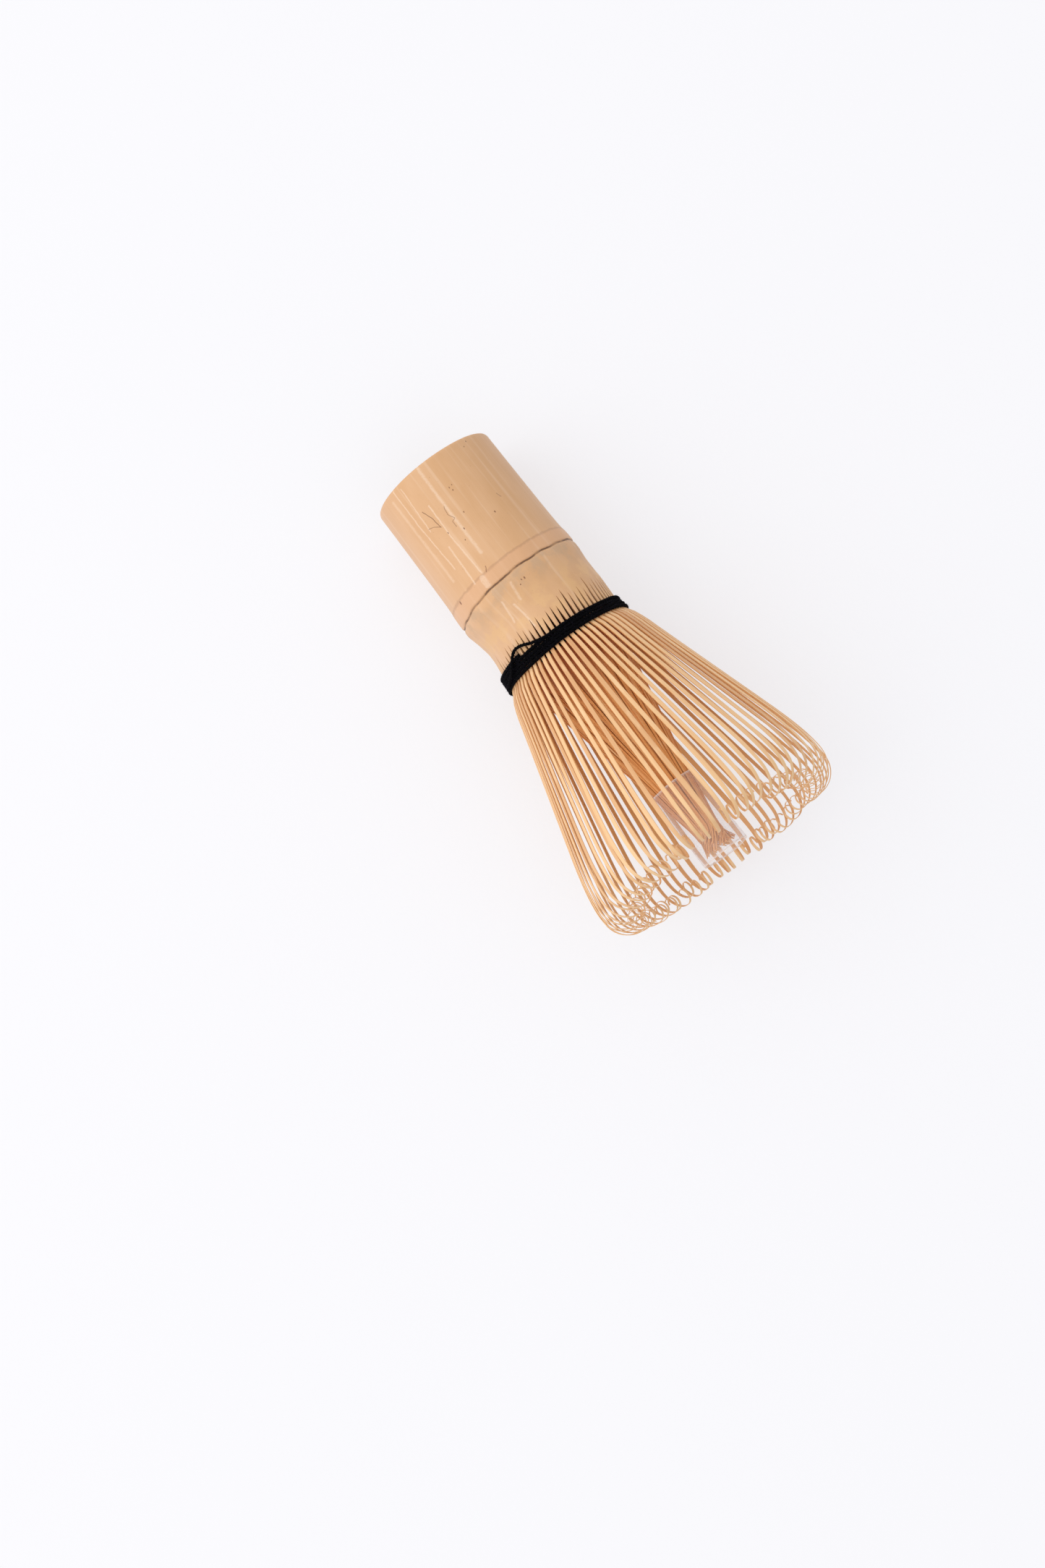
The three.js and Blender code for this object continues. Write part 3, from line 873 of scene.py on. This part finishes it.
def tine_section_tree():
    """One section of a row: strips that follow a middle line, each a little different."""
    board, given, out = new_group(
        "Tine Section", "GeometryNodeTree", TINE_INPUTS, [("Geometry", "NodeSocketGeometry")],
    )
    line = board.add("GeometryNodeMeshLine", Count=given["Tines"])
    tube = board.add(
        "GeometryNodeMeshCylinder", {"fill_type": "NGON"},
        Vertices=TINE_SIDES, Side_Segments=given["Segments"], Radius=1.0, Depth=1.0,
    )
    number = board.add("GeometryNodeInputIndex")
    numbered = store_node(board, line.outputs[0], "tine", "FLOAT", number.outputs[0], "POINT")
    copies = board.add("GeometryNodeInstanceOnPoints", Points=numbered, Instance=tube.outputs[0])
    carried = store_node(board, copies.outputs[0], "tine", "FLOAT", named(board, "tine"), "INSTANCE")
    flat = board.add("GeometryNodeRealizeInstances", Geometry=carried).outputs[0]

    # the copies stand in a row along Z, so a copy's own height comes off first
    tine = named(board, "tine")
    round_x, round_y, height = board.split(board.wire(board.add("GeometryNodeInputPosition")))
    even = height - tine + 0.5
    share = 1.0 - (1.0 - even) ** 2.0
    side_x, side_y = squared(board, round_x), squared(board, round_y)

    def chance(turn):
        node = board.add("FunctionNodeRandomValue", {"data_type": "FLOAT"}, ID=tine)
        board.fill(node, Seed=given["Seed"] * 16.0 + float(turn))
        return board.wire(node, 1) - 0.5

    reach = share * (1.0 - given["Length Spread"] * (chance(1) + 0.5))
    info = board.add("GeometryNodeObjectInfo", Object=given["Middle Line"])
    sample = board.add(
        "GeometryNodeSampleCurve", {"mode": "FACTOR"}, Curves=info.outputs["Geometry"], Factor=reach,
    )
    station, _, radius = board.split(sample.outputs["Position"])
    heading_x, _, heading_z = board.split(sample.outputs["Tangent"])
    curl_station, _, curl_radius = board.split(given["Curl Start"])
    in_curl = reach > given["Curl From"]
    grow = 1.0 + in_curl * given["Curl Spread"] * chance(2)
    station = curl_station + (station - curl_station) * grow
    radius = curl_radius + (radius - curl_radius) * grow
    parted = board.ramp(station, *PARTING, smooth=False)
    radius = radius + given["Flare"] * chance(3) * parted
    radius = radius * (1.0 - given["Layering"] * (chance(4) + 0.5) * parted)
    curl_share = board.ramp(reach, given["Curl From"], 1.0, smooth=False)
    aside = given["Sway"] * chance(5) * parted + given["Curl Sway"] * chance(6) * curl_share ** 2.0

    straight_share = board.ramp(share, 0.0, given["Slim From"], smooth=False)
    slim_share = board.ramp(share, given["Slim From"], 1.0, smooth=False)
    width = between(given["Root Width"], given["Middle Width"], straight_share)
    width = between(width, given["Tip Width"], slim_share) * (1.0 + chance(7) * 0.18)
    thickness = between(given["Root Thickness"], given["Middle Thickness"], straight_share ** 0.5)
    thickness = between(thickness, given["Tip Thickness"], slim_share)

    outwards = side_y * thickness * 0.5
    across = side_x * width * 0.5
    station = station - heading_z * outwards
    radius = radius + heading_x * outwards
    azimuth = given["Section Azimuth"] + (tine - (given["Tines"] - 1.0) * 0.5) * given["Pitch"]
    height = board.math("SINE", azimuth)
    on_top = board.math("MAXIMUM", height, 0.0) ** 0.8
    drawn_back = board.ramp(station, *DRAWN_BACK, smooth=False)
    station = station - given["Shorter On Top"] * on_top * drawn_back
    below = board.math("MAXIMUM", 0.0 - height, 0.0) ** 2.0
    radius = radius - given["Pressed Below"] * below * parted
    azimuth = azimuth + given["Pitch"] * given["Stray"] * chance(8) * parted
    groups = board.math("SINE", azimuth * 2.0 + math.pi)
    azimuth = azimuth + given["Gather"] * groups * parted
    azimuth = azimuth + given["Swirl"] * (chance(9) + 1.0) * board.ramp(station, *SWIRL_SPAN)
    cosine, sine = board.math("COSINE", azimuth), board.math("SINE", azimuth)
    sideways = across + aside
    y = radius * cosine - sideways * sine
    z = radius * sine + sideways * cosine

    own_grain = across + tine * NEXT_STRIP + given["Section Azimuth"] * NEXT_SECTION
    grain = board.vector(share * given["Line Length"], own_grain, outwards)
    flat = store_node(board, flat, "grain", "FLOAT_VECTOR", grain, "POINT")
    flat = store_node(board, flat, "tone", "FLOAT", chance(10) + 0.5, "POINT")
    flat = store_node(board, flat, "skin_side", "FLOAT", side_y * 0.5 + 0.5, "POINT")
    place = board.vector(station, y, z)
    placed = board.add("GeometryNodeSetPosition", Geometry=flat, Position=place)
    return dressed(board, given, out, placed)


def store_node(board, geometry, name, kind, value, domain):
    node = board.add("GeometryNodeStoreNamedAttribute", {"data_type": kind, "domain": domain})
    board.fill(node, Geometry=geometry, Name=name)
    board.plug(next(s for s in node.inputs if s.name == "Value" and s.enabled), value)
    return node.outputs[0]


def named(board, name):
    return board.wire(board.add("GeometryNodeInputNamedAttribute", {"data_type": "FLOAT"}, Name=name))


def dressed(board, given, out, shaped):
    """Ends a tree: the shape with its material."""
    last = board.add("GeometryNodeSetMaterial", Geometry=shaped.outputs[0], Material=given["Material"])
    board.fill(out, Geometry=last.outputs[0])
    return board.tree


def squared(board, value):
    """Pushes a point on a circle out towards a square with rounded corners."""
    return board.math("ABSOLUTE", value) ** 0.5 * board.math("SIGN", value)


def between(first, second, share):
    """The value a share of the way from the first to the second."""
    return first + (second - first) * share


def set_inputs(modifier, values):
    for item in modifier.node_group.interface.items_tree:
        if item.in_out == "INPUT" and item.name in values:
            modifier[item.identifier] = values[item.name]


def grown(name, tree, values):
    """The plain mesh that a node tree makes from these values."""
    seed_object = add_object(name + "_tree", bpy.data.meshes.new(name + "_tree"))
    modifier = seed_object.modifiers.new("Nodes", "NODES")
    modifier.node_group = tree
    set_inputs(modifier, values)
    depsgraph = bpy.context.evaluated_depsgraph_get()
    mesh = bpy.data.meshes.new_from_object(
        seed_object.evaluated_get(depsgraph), preserve_all_data_layers=True, depsgraph=depsgraph,
    )
    mesh.name = name
    bpy.data.objects.remove(seed_object)
    return mesh


# ---------- thread ----------

THREAD_INPUTS = [
    ("Path", "NodeSocketObject"),
    ("Ply Radius", FLOAT, 0.2),
    ("Ply Offset", FLOAT, 0.2),
    ("Twist Length", FLOAT, 2.2),
    ("Spacing", FLOAT, 0.3),
    ("Fuzz Density", FLOAT, 6.0),
    ("Fuzz Length", FLOAT, 0.45),
    ("Seed", "NodeSocketInt", 1),
    ("Material", "NodeSocketMaterial"),
]
PLIES = 3
PLY_SIDES = 6
FUZZ_LEAN = 1.1  # radians


def twisted_thread_tree():
    """Thread of three plies laid round each other, with loose fibres standing off it."""
    board, given, out = new_group(
        "Twisted Thread", "GeometryNodeTree", THREAD_INPUTS, [("Geometry", "NodeSocketGeometry")],
    )
    info = board.add("GeometryNodeObjectInfo", Object=given["Path"])
    path = board.add("GeometryNodeResampleCurve", {"mode": "LENGTH"})
    board.fill(path, Curve=info.outputs["Geometry"], Length=given["Spacing"])
    walked = board.wire(board.add("GeometryNodeSplineParameter"), "Length")
    normal = board.wire(board.add("GeometryNodeInputNormal"))
    tangent = board.wire(board.add("GeometryNodeInputTangent"))
    binormal = board.vector_math("CROSS_PRODUCT", tangent, normal)
    circle = board.add("GeometryNodeCurvePrimitiveCircle")
    board.fill(circle, Resolution=PLY_SIDES, Radius=given["Ply Radius"])
    joined = board.add("GeometryNodeJoinGeometry")
    for ply in range(PLIES):
        angle = walked / given["Twist Length"] * (2 * math.pi) + ply * 2 * math.pi / PLIES
        ahead = board.scaled(normal, board.math("COSINE", angle) * given["Ply Offset"])
        aside = board.scaled(binormal, board.math("SINE", angle) * given["Ply Offset"])
        offset = board.vector_math("ADD", ahead, aside)
        moved = board.add("GeometryNodeSetPosition", Geometry=path.outputs[0], Offset=offset)
        grain = board.vector(walked, angle, 0.0)
        marked = store_node(board, moved.outputs[0], "grain", "FLOAT_VECTOR", grain, "POINT")
        tube = board.add("GeometryNodeCurveToMesh")
        board.fill(tube, Curve=marked, Profile_Curve=circle.outputs[0], Fill_Caps=True)
        board.plug(joined.inputs[0], tube.outputs[0])
    points = board.add("GeometryNodeDistributePointsOnFaces")
    board.fill(points, Mesh=joined.outputs[0], Density=given["Fuzz Density"], Seed=given["Seed"])
    fibre = board.add(
        "GeometryNodeMeshCone", {"fill_type": "NONE"},
        Vertices=3, Radius_Top=0.004, Radius_Bottom=0.016, Depth=1.0,
    )
    lean = board.add(
        "FunctionNodeRandomValue", {"data_type": "FLOAT_VECTOR"},
        i0=(-FUZZ_LEAN,) * 3, i1=(FUZZ_LEAN,) * 3, Seed=given["Seed"],
    )
    tilt = board.add("FunctionNodeRotateRotation")
    board.fill(tilt, Rotation=points.outputs["Rotation"], Rotate_By=lean.outputs[0])
    size = board.add("FunctionNodeRandomValue", {"data_type": "FLOAT"}, i2=0.35, i3=1.0)
    length = board.wire(size, 1) * given["Fuzz Length"]
    hairs = board.add(
        "GeometryNodeInstanceOnPoints", Points=points.outputs[0], Instance=fibre.outputs[0],
        Rotation=tilt.outputs[0], Scale=board.vector(1.0, 1.0, length),
    )
    real = board.add("GeometryNodeRealizeInstances", Geometry=hairs.outputs[0])
    loose = board.vector(0.0, 0.0, 1.0)
    loose_hairs = store_node(board, real.outputs[0], "grain", "FLOAT_VECTOR", loose, "POINT")
    both = board.add("GeometryNodeJoinGeometry")
    board.plug(both.inputs[0], loose_hairs)
    board.plug(both.inputs[0], joined.outputs[0])
    return dressed(board, given, out, both)


# station and radius of the wood under the binding
BOUND_WOOD = [(40, 14.25), (46, 14.45), (46.6, 14.5), (48.6, 15.1), (50, 15.8)]


def on_wood(azimuth_degrees, station, height):
    """Points at a height over the bound wood."""
    azimuth = np.radians(azimuth_degrees)
    radius = np.interp(station, *np.transpose(BOUND_WOOD)) + height
    return np.column_stack([station, radius * np.cos(azimuth), radius * np.sin(azimuth)])


WRAP_TURNS = 4.4
WRAP_START_AZIMUTH = 128.0
WRAP_START = 44.35
WRAP_BREADTH = 3.3
SPREADER_STATION = 47.6
SPREADER_RADIUS = 12.8
# azimuth, station and height over the wood of the strand that hangs slack beside the band
SLACK_ROUTE = [
    (96, 45.2, 1.15), (105, 44.6, 1.2), (112, 44.0, 1.15), (118, 43.2, 0.85), (123, 42.75, 0.6),
    (128, 42.6, 0.6), (133, 43.2, 0.75), (137, 44.3, 1.1), (142, 45.5, 1.25), (151, 46.4, 1.2),
    (165, 46.8, 0.9),
]


def wraps_path():
    """Turns side by side, a little uneven, that sit lower on the handle towards -Y."""
    rng = np.random.default_rng(21)
    share = np.linspace(0, 1, int(WRAP_TURNS * 60))
    walked = share * 2 * math.pi
    azimuth = WRAP_START_AZIMUTH + share * WRAP_TURNS * 360
    station = WRAP_START + share * WRAP_BREADTH + 0.09 * waves(walked, rng, 6, 7, 31)
    station += 0.45 * np.cos(np.radians(azimuth))
    return on_wood(azimuth, station, 0.43 + 0.07 * waves(walked, rng, 6, 9, 40))


def slack_path():
    route = smooth_line(SLACK_ROUTE, 120)
    return on_wood(route[:, 0], route[:, 1], route[:, 2])


def spreader_path():
    """One turn between the rows, which passes over one strip and under the next."""
    angle = np.radians(np.linspace(0, 352, 144))
    radius = SPREADER_RADIUS + 0.12 * np.sin(angle * SLITS / 2)
    station = np.full(len(angle), SPREADER_STATION)
    return np.column_stack([station, radius * np.cos(angle), radius * np.sin(angle)])


# ---------- settings ----------


def size_property(label, description, default):
    return FloatProperty(name=label, description=description, default=default, min=0.0)


def colour_property(label, description, *screen):
    return FloatVectorProperty(
        name=label, description=description, subtype="COLOR", size=4, min=0, max=1,
        default=linear(*screen),
    )


class WhiskSizes(bpy.types.PropertyGroup):
    outer_tines: IntProperty(
        name="Outer strips", description="Strips in each section of the outer row", default=6, min=2)
    inner_tines: IntProperty(
        name="Inner strips", description="Strips in each section of the inner row", default=12, min=2)
    tine_width: size_property("Strip width", "Width of an outer strip at the binding, in mm", 0.92)
    tine_tip: size_property("Tip width", "Width of an outer strip at its tip, in mm", 0.42)
    fuzz: size_property("Fuzz", "Length of the loose fibres on the thread, in mm", 0.5)
    camera_height: FloatProperty(
        name="Camera height", description="Height of the camera over the table",
        default=0.55, subtype="DISTANCE", unit="LENGTH")


class WhiskColours(bpy.types.PropertyGroup):
    skin_mid: colour_property("Skin", "Main colour of the handle", 213, 166, 119)
    skin_light: colour_property("Light skin", "Lighter clouds on the handle", 219, 174, 130)
    skin_dark: colour_property("Dark fibres", "Fine dark fibres on the handle", 196, 146, 100)
    skin_pale: colour_property("Pale streaks", "Worn pale streaks on the handle", 238, 208, 178)
    # painted light and painted shade on the handle's two flanks
    skin_painted_light: colour_property("Painted light flank", "Skin on one flank", 219, 180, 148)
    skin_painted_shade: colour_property("Painted shade flank", "Skin on the other flank", 204, 161, 121)
    node_band: colour_property("Ridge", "The band beside the scar", 222, 170, 134)
    neck_grey: colour_property("Grey smudge", "Weathered skin below the scar", 190, 160, 130)
    neck_yellow: colour_property("Yellow neck", "Clear skin on the neck", 226, 182, 128)
    scratch: colour_property("Scratches", "Scratches and specks", 118, 72, 44)
    groove: colour_property("Scar", "The groove at the node", 98, 68, 54)
    # painted shade inside the splits
    split_painted_shade: colour_property("Split", "Walls of the splits", 92, 44, 20)
    flesh: colour_property("Wood", "Cut wood of the inside", 214, 176, 124)
    flesh_light: colour_property("Light wood", "Lighter cut wood", 229, 198, 150)
    flesh_dark: colour_property("Bundles", "Dark bundles in cut wood", 140, 96, 56)
    tine_skin: colour_property("Outer strip", "Skin side of the outer strips", 238, 194, 142)
    # partly real cut wood, partly painted shade on the strips' sides
    tine_wood_and_shade: colour_property("Outer strip wood", "Wood sides of the outer strips", 222, 163, 100)
    # also used for painted shade at the roots of the strips
    tine_shade: colour_property("Strip shade", "Darker fibres of the strips", 198, 134, 80)
    tine_tip: colour_property("Strip tips", "The thin curled tips", 244, 206, 158)
    # the inner colours are a darker, more orange copy of the outer strips' colours: painted shade from
    # lying under the outer row
    inner_skin_shaded: colour_property("Inner strip", "Outer side of the inner strips", 236, 166, 96)
    inner_wood_shaded: colour_property("Inner strip wood", "Wood of the inner strips", 220, 148, 80)
    # also used for painted shade at the roots of the inner strips
    inner_shade: colour_property("Inner shade", "Darker fibres of the inner strips", 180, 112, 58)
    thread: colour_property("Thread", "The binding thread", 11, 10, 13)
    thread_dark: colour_property("Thread hollows", "Between the thread's fibres", 3, 3, 4)
    thread_fuzz: colour_property("Thread fuzz", "Loose fibres of the thread", 44, 40, 56)
    film: colour_property("Film", "The clear sleeve", 240, 238, 242)
    # painted highlight along the sleeve's cut edges
    film_rim_highlight: colour_property("Film edge", "Cut edges of the sleeve", 250, 236, 222)
    table: colour_property("Table", "The table top", 158, 158, 160)
    # painted light: the table's glow
    table_glow: colour_property("Table glow", "Light from within the table", 252, 252, 255)
    table_warm: colour_property("Table, warm", "Slightly warmer places on the table", 160, 159, 160)


# ---------- operators ----------


def shared_effects():
    makers = {
        "round": ("Round the Culm", group_round_the_culm),
        "fibre": ("Bamboo Fibre", group_bamboo_fibre),
        "mark": ("Drawn Mark", group_drawn_mark),
        "specks": ("Specks", group_specks),
    }
    return {key: bpy.data.node_groups.get(name) or make() for key, (name, make) in makers.items()}


def stands_for(piece, node):
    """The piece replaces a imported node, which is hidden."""
    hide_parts(node)
    return piece


def grow_row(row, seed, line_points, material, inputs, join):
    """Grows the sections of a row of strips along a line, and passes each piece to join."""
    points = in_radial_plane(line_points)
    line = curve_object(row + "_line", points)
    tree = bpy.data.node_groups.get("Tine Section") or tine_section_tree()
    for i in range(SECTIONS):
        node = f"{row}_tines_{i + 1:02d}"
        mesh = grown(node, tree, {
            "Middle Line": line, "Line Length": line_length(points), "Material": material,
            "Pitch": SECTION_ANGLE / inputs["Tines"], "Section Azimuth": i * SECTION_ANGLE,
            "Seed": seed + i, **inputs,
        })
        piece = finish_piece(f"{row}_strips_{i + 1:02d}", mesh, [material], 35)
        join(stands_for(piece, node), node)
    bpy.data.objects.remove(line)


class WHISK_OT_culm(bpy.types.Operator):
    """Build the handle: one length of bamboo with its node and the ends of its splits"""

    bl_idname = "whisk.culm"
    bl_label = "Handle"

    def execute(self, context):
        effects, colours = shared_effects(), context.scene.whisk_colours
        skin = material_bamboo_skin(effects, colours)
        flesh = material_bamboo_flesh(effects, colours)
        culm = finish_piece("culm", culm_mesh(), [skin, flesh], 50)
        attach(stands_for(culm, "handle_culm"), "handle")
        septum = finish_piece("diaphragm", diaphragm_mesh(), [flesh], 50)
        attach(stands_for(septum, "node_diaphragm"), "handle")
        return {"FINISHED"}


class WHISK_OT_outer_tines(bpy.types.Operator):
    """Build the outer row of strips, curled in at their tips"""

    bl_idname = "whisk.outer_tines"
    bl_label = "Outer Strips"

    def execute(self, context):
        sizes, colours = context.scene.whisk_sizes, context.scene.whisk_colours
        # the last value sets how much painted shade darkens the roots
        material = material_tine(
            "outer_tine_bamboo", shared_effects(), colours.tine_skin, colours.tine_wood_and_shade,
            colours.tine_shade, colours.tine_tip, 0.38, 0.1,
        )
        line = outer_middle_line()
        inputs = {
            "Tines": sizes.outer_tines, "Segments": 72,
            "Root Width": sizes.tine_width, "Middle Width": 1.02, "Tip Width": sizes.tine_tip,
            "Root Thickness": 0.66, "Middle Thickness": 0.22, "Tip Thickness": 0.12,
            "Slim From": 0.7, "Curl From": 1 - CURL_LENGTH / line_length(line),
            "Curl Start": (CURL_START[0], 0, CURL_START[1]),
            "Curl Spread": 0.05, "Length Spread": 0.04, "Flare": 0.5, "Sway": 0.5, "Curl Sway": 1.6,
            "Shorter On Top": 4.6, "Pressed Below": 0.72, "Stray": 0.45,
        }

        def bend(piece, node):
            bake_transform(piece)

        grow_row("outer", 40, line, material, inputs, bend)
        return {"FINISHED"}


class WHISK_OT_inner_tines(bpy.types.Operator):
    """Build the inner row of strips, gathered into a bundle"""

    bl_idname = "whisk.inner_tines"
    bl_label = "Inner Strips"

    def execute(self, context):
        sizes, colours = context.scene.whisk_sizes, context.scene.whisk_colours
        # the inner strips take darker, more orange colours, painted shade from lying under the outer
        # row
        material = material_tine(
            "inner_tine_bamboo", shared_effects(), colours.inner_skin_shaded, colours.inner_wood_shaded,
            # the last value sets how much painted shade darkens the roots
            colours.inner_shade, colours.tine_skin, 0.5, 0.9,
        )
        inputs = {
            "Tines": sizes.inner_tines, "Segments": 44,
            "Root Width": 0.52, "Middle Width": 0.56, "Tip Width": 0.3,
            "Root Thickness": 0.5, "Middle Thickness": 0.34, "Tip Thickness": 0.16,
            "Slim From": 0.6, "Curl From": 0.95, "Curl Start": (97, 0, 3.0),
            "Curl Spread": 0.2, "Length Spread": 0.06, "Flare": 0.4, "Sway": 0.8, "Curl Sway": 1.0,
            "Layering": 0.25, "Gather": 0.07, "Swirl": 1.3,
        }

        def hold(piece, node):
            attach(piece, "handle")

        grow_row("inner", 80, smooth_line(INNER_LINE, 160), material, inputs, hold)
        return {"FINISHED"}


class WHISK_OT_binding(bpy.types.Operator):
    """Wind the black thread: the wraps, the slack strand and the turn between the rows"""

    bl_idname = "whisk.binding"
    bl_label = "Binding"

    def execute(self, context):
        material = material_black_thread(context.scene.whisk_colours)
        tree = twisted_thread_tree()
        pieces = [
            ("thread_wraps", "binding_wraps", wraps_path(), 0.22, 5.0),
            ("thread_slack", "slack_strand", slack_path(), 0.19, 5.0),
            ("thread_spreader", "spreader_thread", spreader_path(), 0.22, 1.0),
        ]
        for seed, (name, node, points, ply_radius, fuzz) in enumerate(pieces):
            path = curve_object(name + "_path", points)
            mesh = grown(name, tree, {
                "Path": path, "Ply Radius": ply_radius, "Ply Offset": ply_radius * 0.95,
                "Twist Length": 2.4, "Spacing": 0.32, "Fuzz Density": fuzz,
                "Fuzz Length": context.scene.whisk_sizes.fuzz, "Seed": seed + 7, "Material": material,
            })
            piece = finish_piece(name, mesh, [material], 80)
            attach(stands_for(piece, node), "handle")
            bpy.data.objects.remove(path)
        return {"FINISHED"}


class WHISK_OT_sleeve(bpy.types.Operator):
    """Build the clear sleeve over the tips of the inner bundle"""

    bl_idname = "whisk.sleeve"
    bl_label = "Sleeve"

    def execute(self, context):
        material = material_clear_film(context.scene.whisk_colours)
        piece = finish_piece("sleeve_film", sleeve_mesh(), [material], 60)
        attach(stands_for(piece, "clear_sleeve"), "sleeve")
        return {"FINISHED"}


# plan directions in the row frame: across the camera's view and up it
TURN = math.radians(52.6)
RIGHT = Vector((math.cos(TURN), math.sin(TURN), 0))
ABOVE = Vector((-math.sin(TURN), math.cos(TURN), 0))
CAMERA_PLACE = (on_axis(0).x + 0.0632, -0.0246)
LENS = 58.1
TALL_SENSOR = 36.0
TABLE_REACH = 3.0

WINDOW_PLACE = -RIGHT * 0.9 - ABOVE * 0.1 + Vector((0, 0, 0.8))
WINDOW_SIZE = 1.3
WINDOW_POWER = 4.0
WINDOW_COLOUR = (1.0, 0.98, 0.96)
WHISK_MIDDLE = Vector((0, 0, 0.02))


def window_light():
    data = bpy.data.lights.new("window", "AREA")
    data.shape = "DISK"
    data.size = WINDOW_SIZE
    data.energy = WINDOW_POWER
    data.color = WINDOW_COLOUR
    light = add_object("window", data)
    light.location = WINDOW_PLACE
    light.rotation_euler = (WHISK_MIDDLE - WINDOW_PLACE).to_track_quat("-Z", "Y").to_euler()


def room_light():
    """Light from all round the room, brighter from the window's side."""
    world = bpy.data.worlds.new("white_room")
    world.use_nodes = True
    board = Board(world.node_tree)
    background = world.node_tree.nodes["Background"]
    place = board.add("ShaderNodeTexCoord")
    brighter = (-RIGHT * 0.75 + ABOVE * 0.2 + Vector((0, 0, 0.63))).normalized()
    toward = board.vector_math("DOT_PRODUCT", place.outputs["Generated"], tuple(brighter), output=1)
    board.fill(background, Color=(0.985, 0.98, 1.0, 1.0), Strength=0.74 + toward * 0.38)
    return world


class WHISK_OT_stage(bpy.types.Operator):
    """Set the white table, the lights and the camera"""

    bl_idname = "whisk.stage"
    bl_label = "Stage"

    def execute(self, context):
        scene = context.scene
        mesh = bpy.data.meshes.new("table")
        signs = ((-1, -1), (1, -1), (1, 1), (-1, 1))
        corners = [(x * TABLE_REACH, y * TABLE_REACH, 0) for x, y in signs]
        mesh.from_pydata(corners, [], [(0, 1, 2, 3)])
        mesh.materials.append(material_table(scene.whisk_colours))
        table = add_object("table", mesh)

        window_light()
        scene.world = room_light()
        scene.view_settings.view_transform = "Standard"

        data = bpy.data.cameras.new("camera")
        data.sensor_fit = "VERTICAL"
        data.sensor_height = TALL_SENSOR
        data.lens = LENS
        data.clip_start = 0.01
        camera = add_object("camera", data)
        camera.location = (*CAMERA_PLACE, scene.whisk_sizes.camera_height)
        camera.rotation_euler = (0, 0, TURN)
        scene.camera = camera
        return {"FINISHED"}


class WHISK_PT_panel(bpy.types.Panel):
    """The parts of the whisk, in the order they are made"""

    bl_idname = "WHISK_PT_panel"
    bl_label = "Tea Whisk"
    bl_space_type = "VIEW_3D"
    bl_region_type = "UI"
    bl_category = "Whisk"

    def draw(self, context):
        for operator in OPERATORS:
            self.layout.operator(operator.bl_idname)


OPERATORS = (
    WHISK_OT_culm, WHISK_OT_outer_tines, WHISK_OT_inner_tines, WHISK_OT_binding,
    WHISK_OT_sleeve, WHISK_OT_stage,
)
CLASSES = (WhiskSizes, WhiskColours, *OPERATORS, WHISK_PT_panel)


def register():
    for cls in CLASSES:
        bpy.utils.register_class(cls)
    bpy.types.Scene.whisk_sizes = PointerProperty(type=WhiskSizes)
    bpy.types.Scene.whisk_colours = PointerProperty(type=WhiskColours)


def unregister():
    del bpy.types.Scene.whisk_colours
    del bpy.types.Scene.whisk_sizes
    for cls in reversed(CLASSES):
        bpy.utils.unregister_class(cls)


def main():
    register()
    for operator in OPERATORS:
        getattr(bpy.ops.whisk, operator.bl_idname.split(".")[1])()


if __name__ == "__main__":
    main()
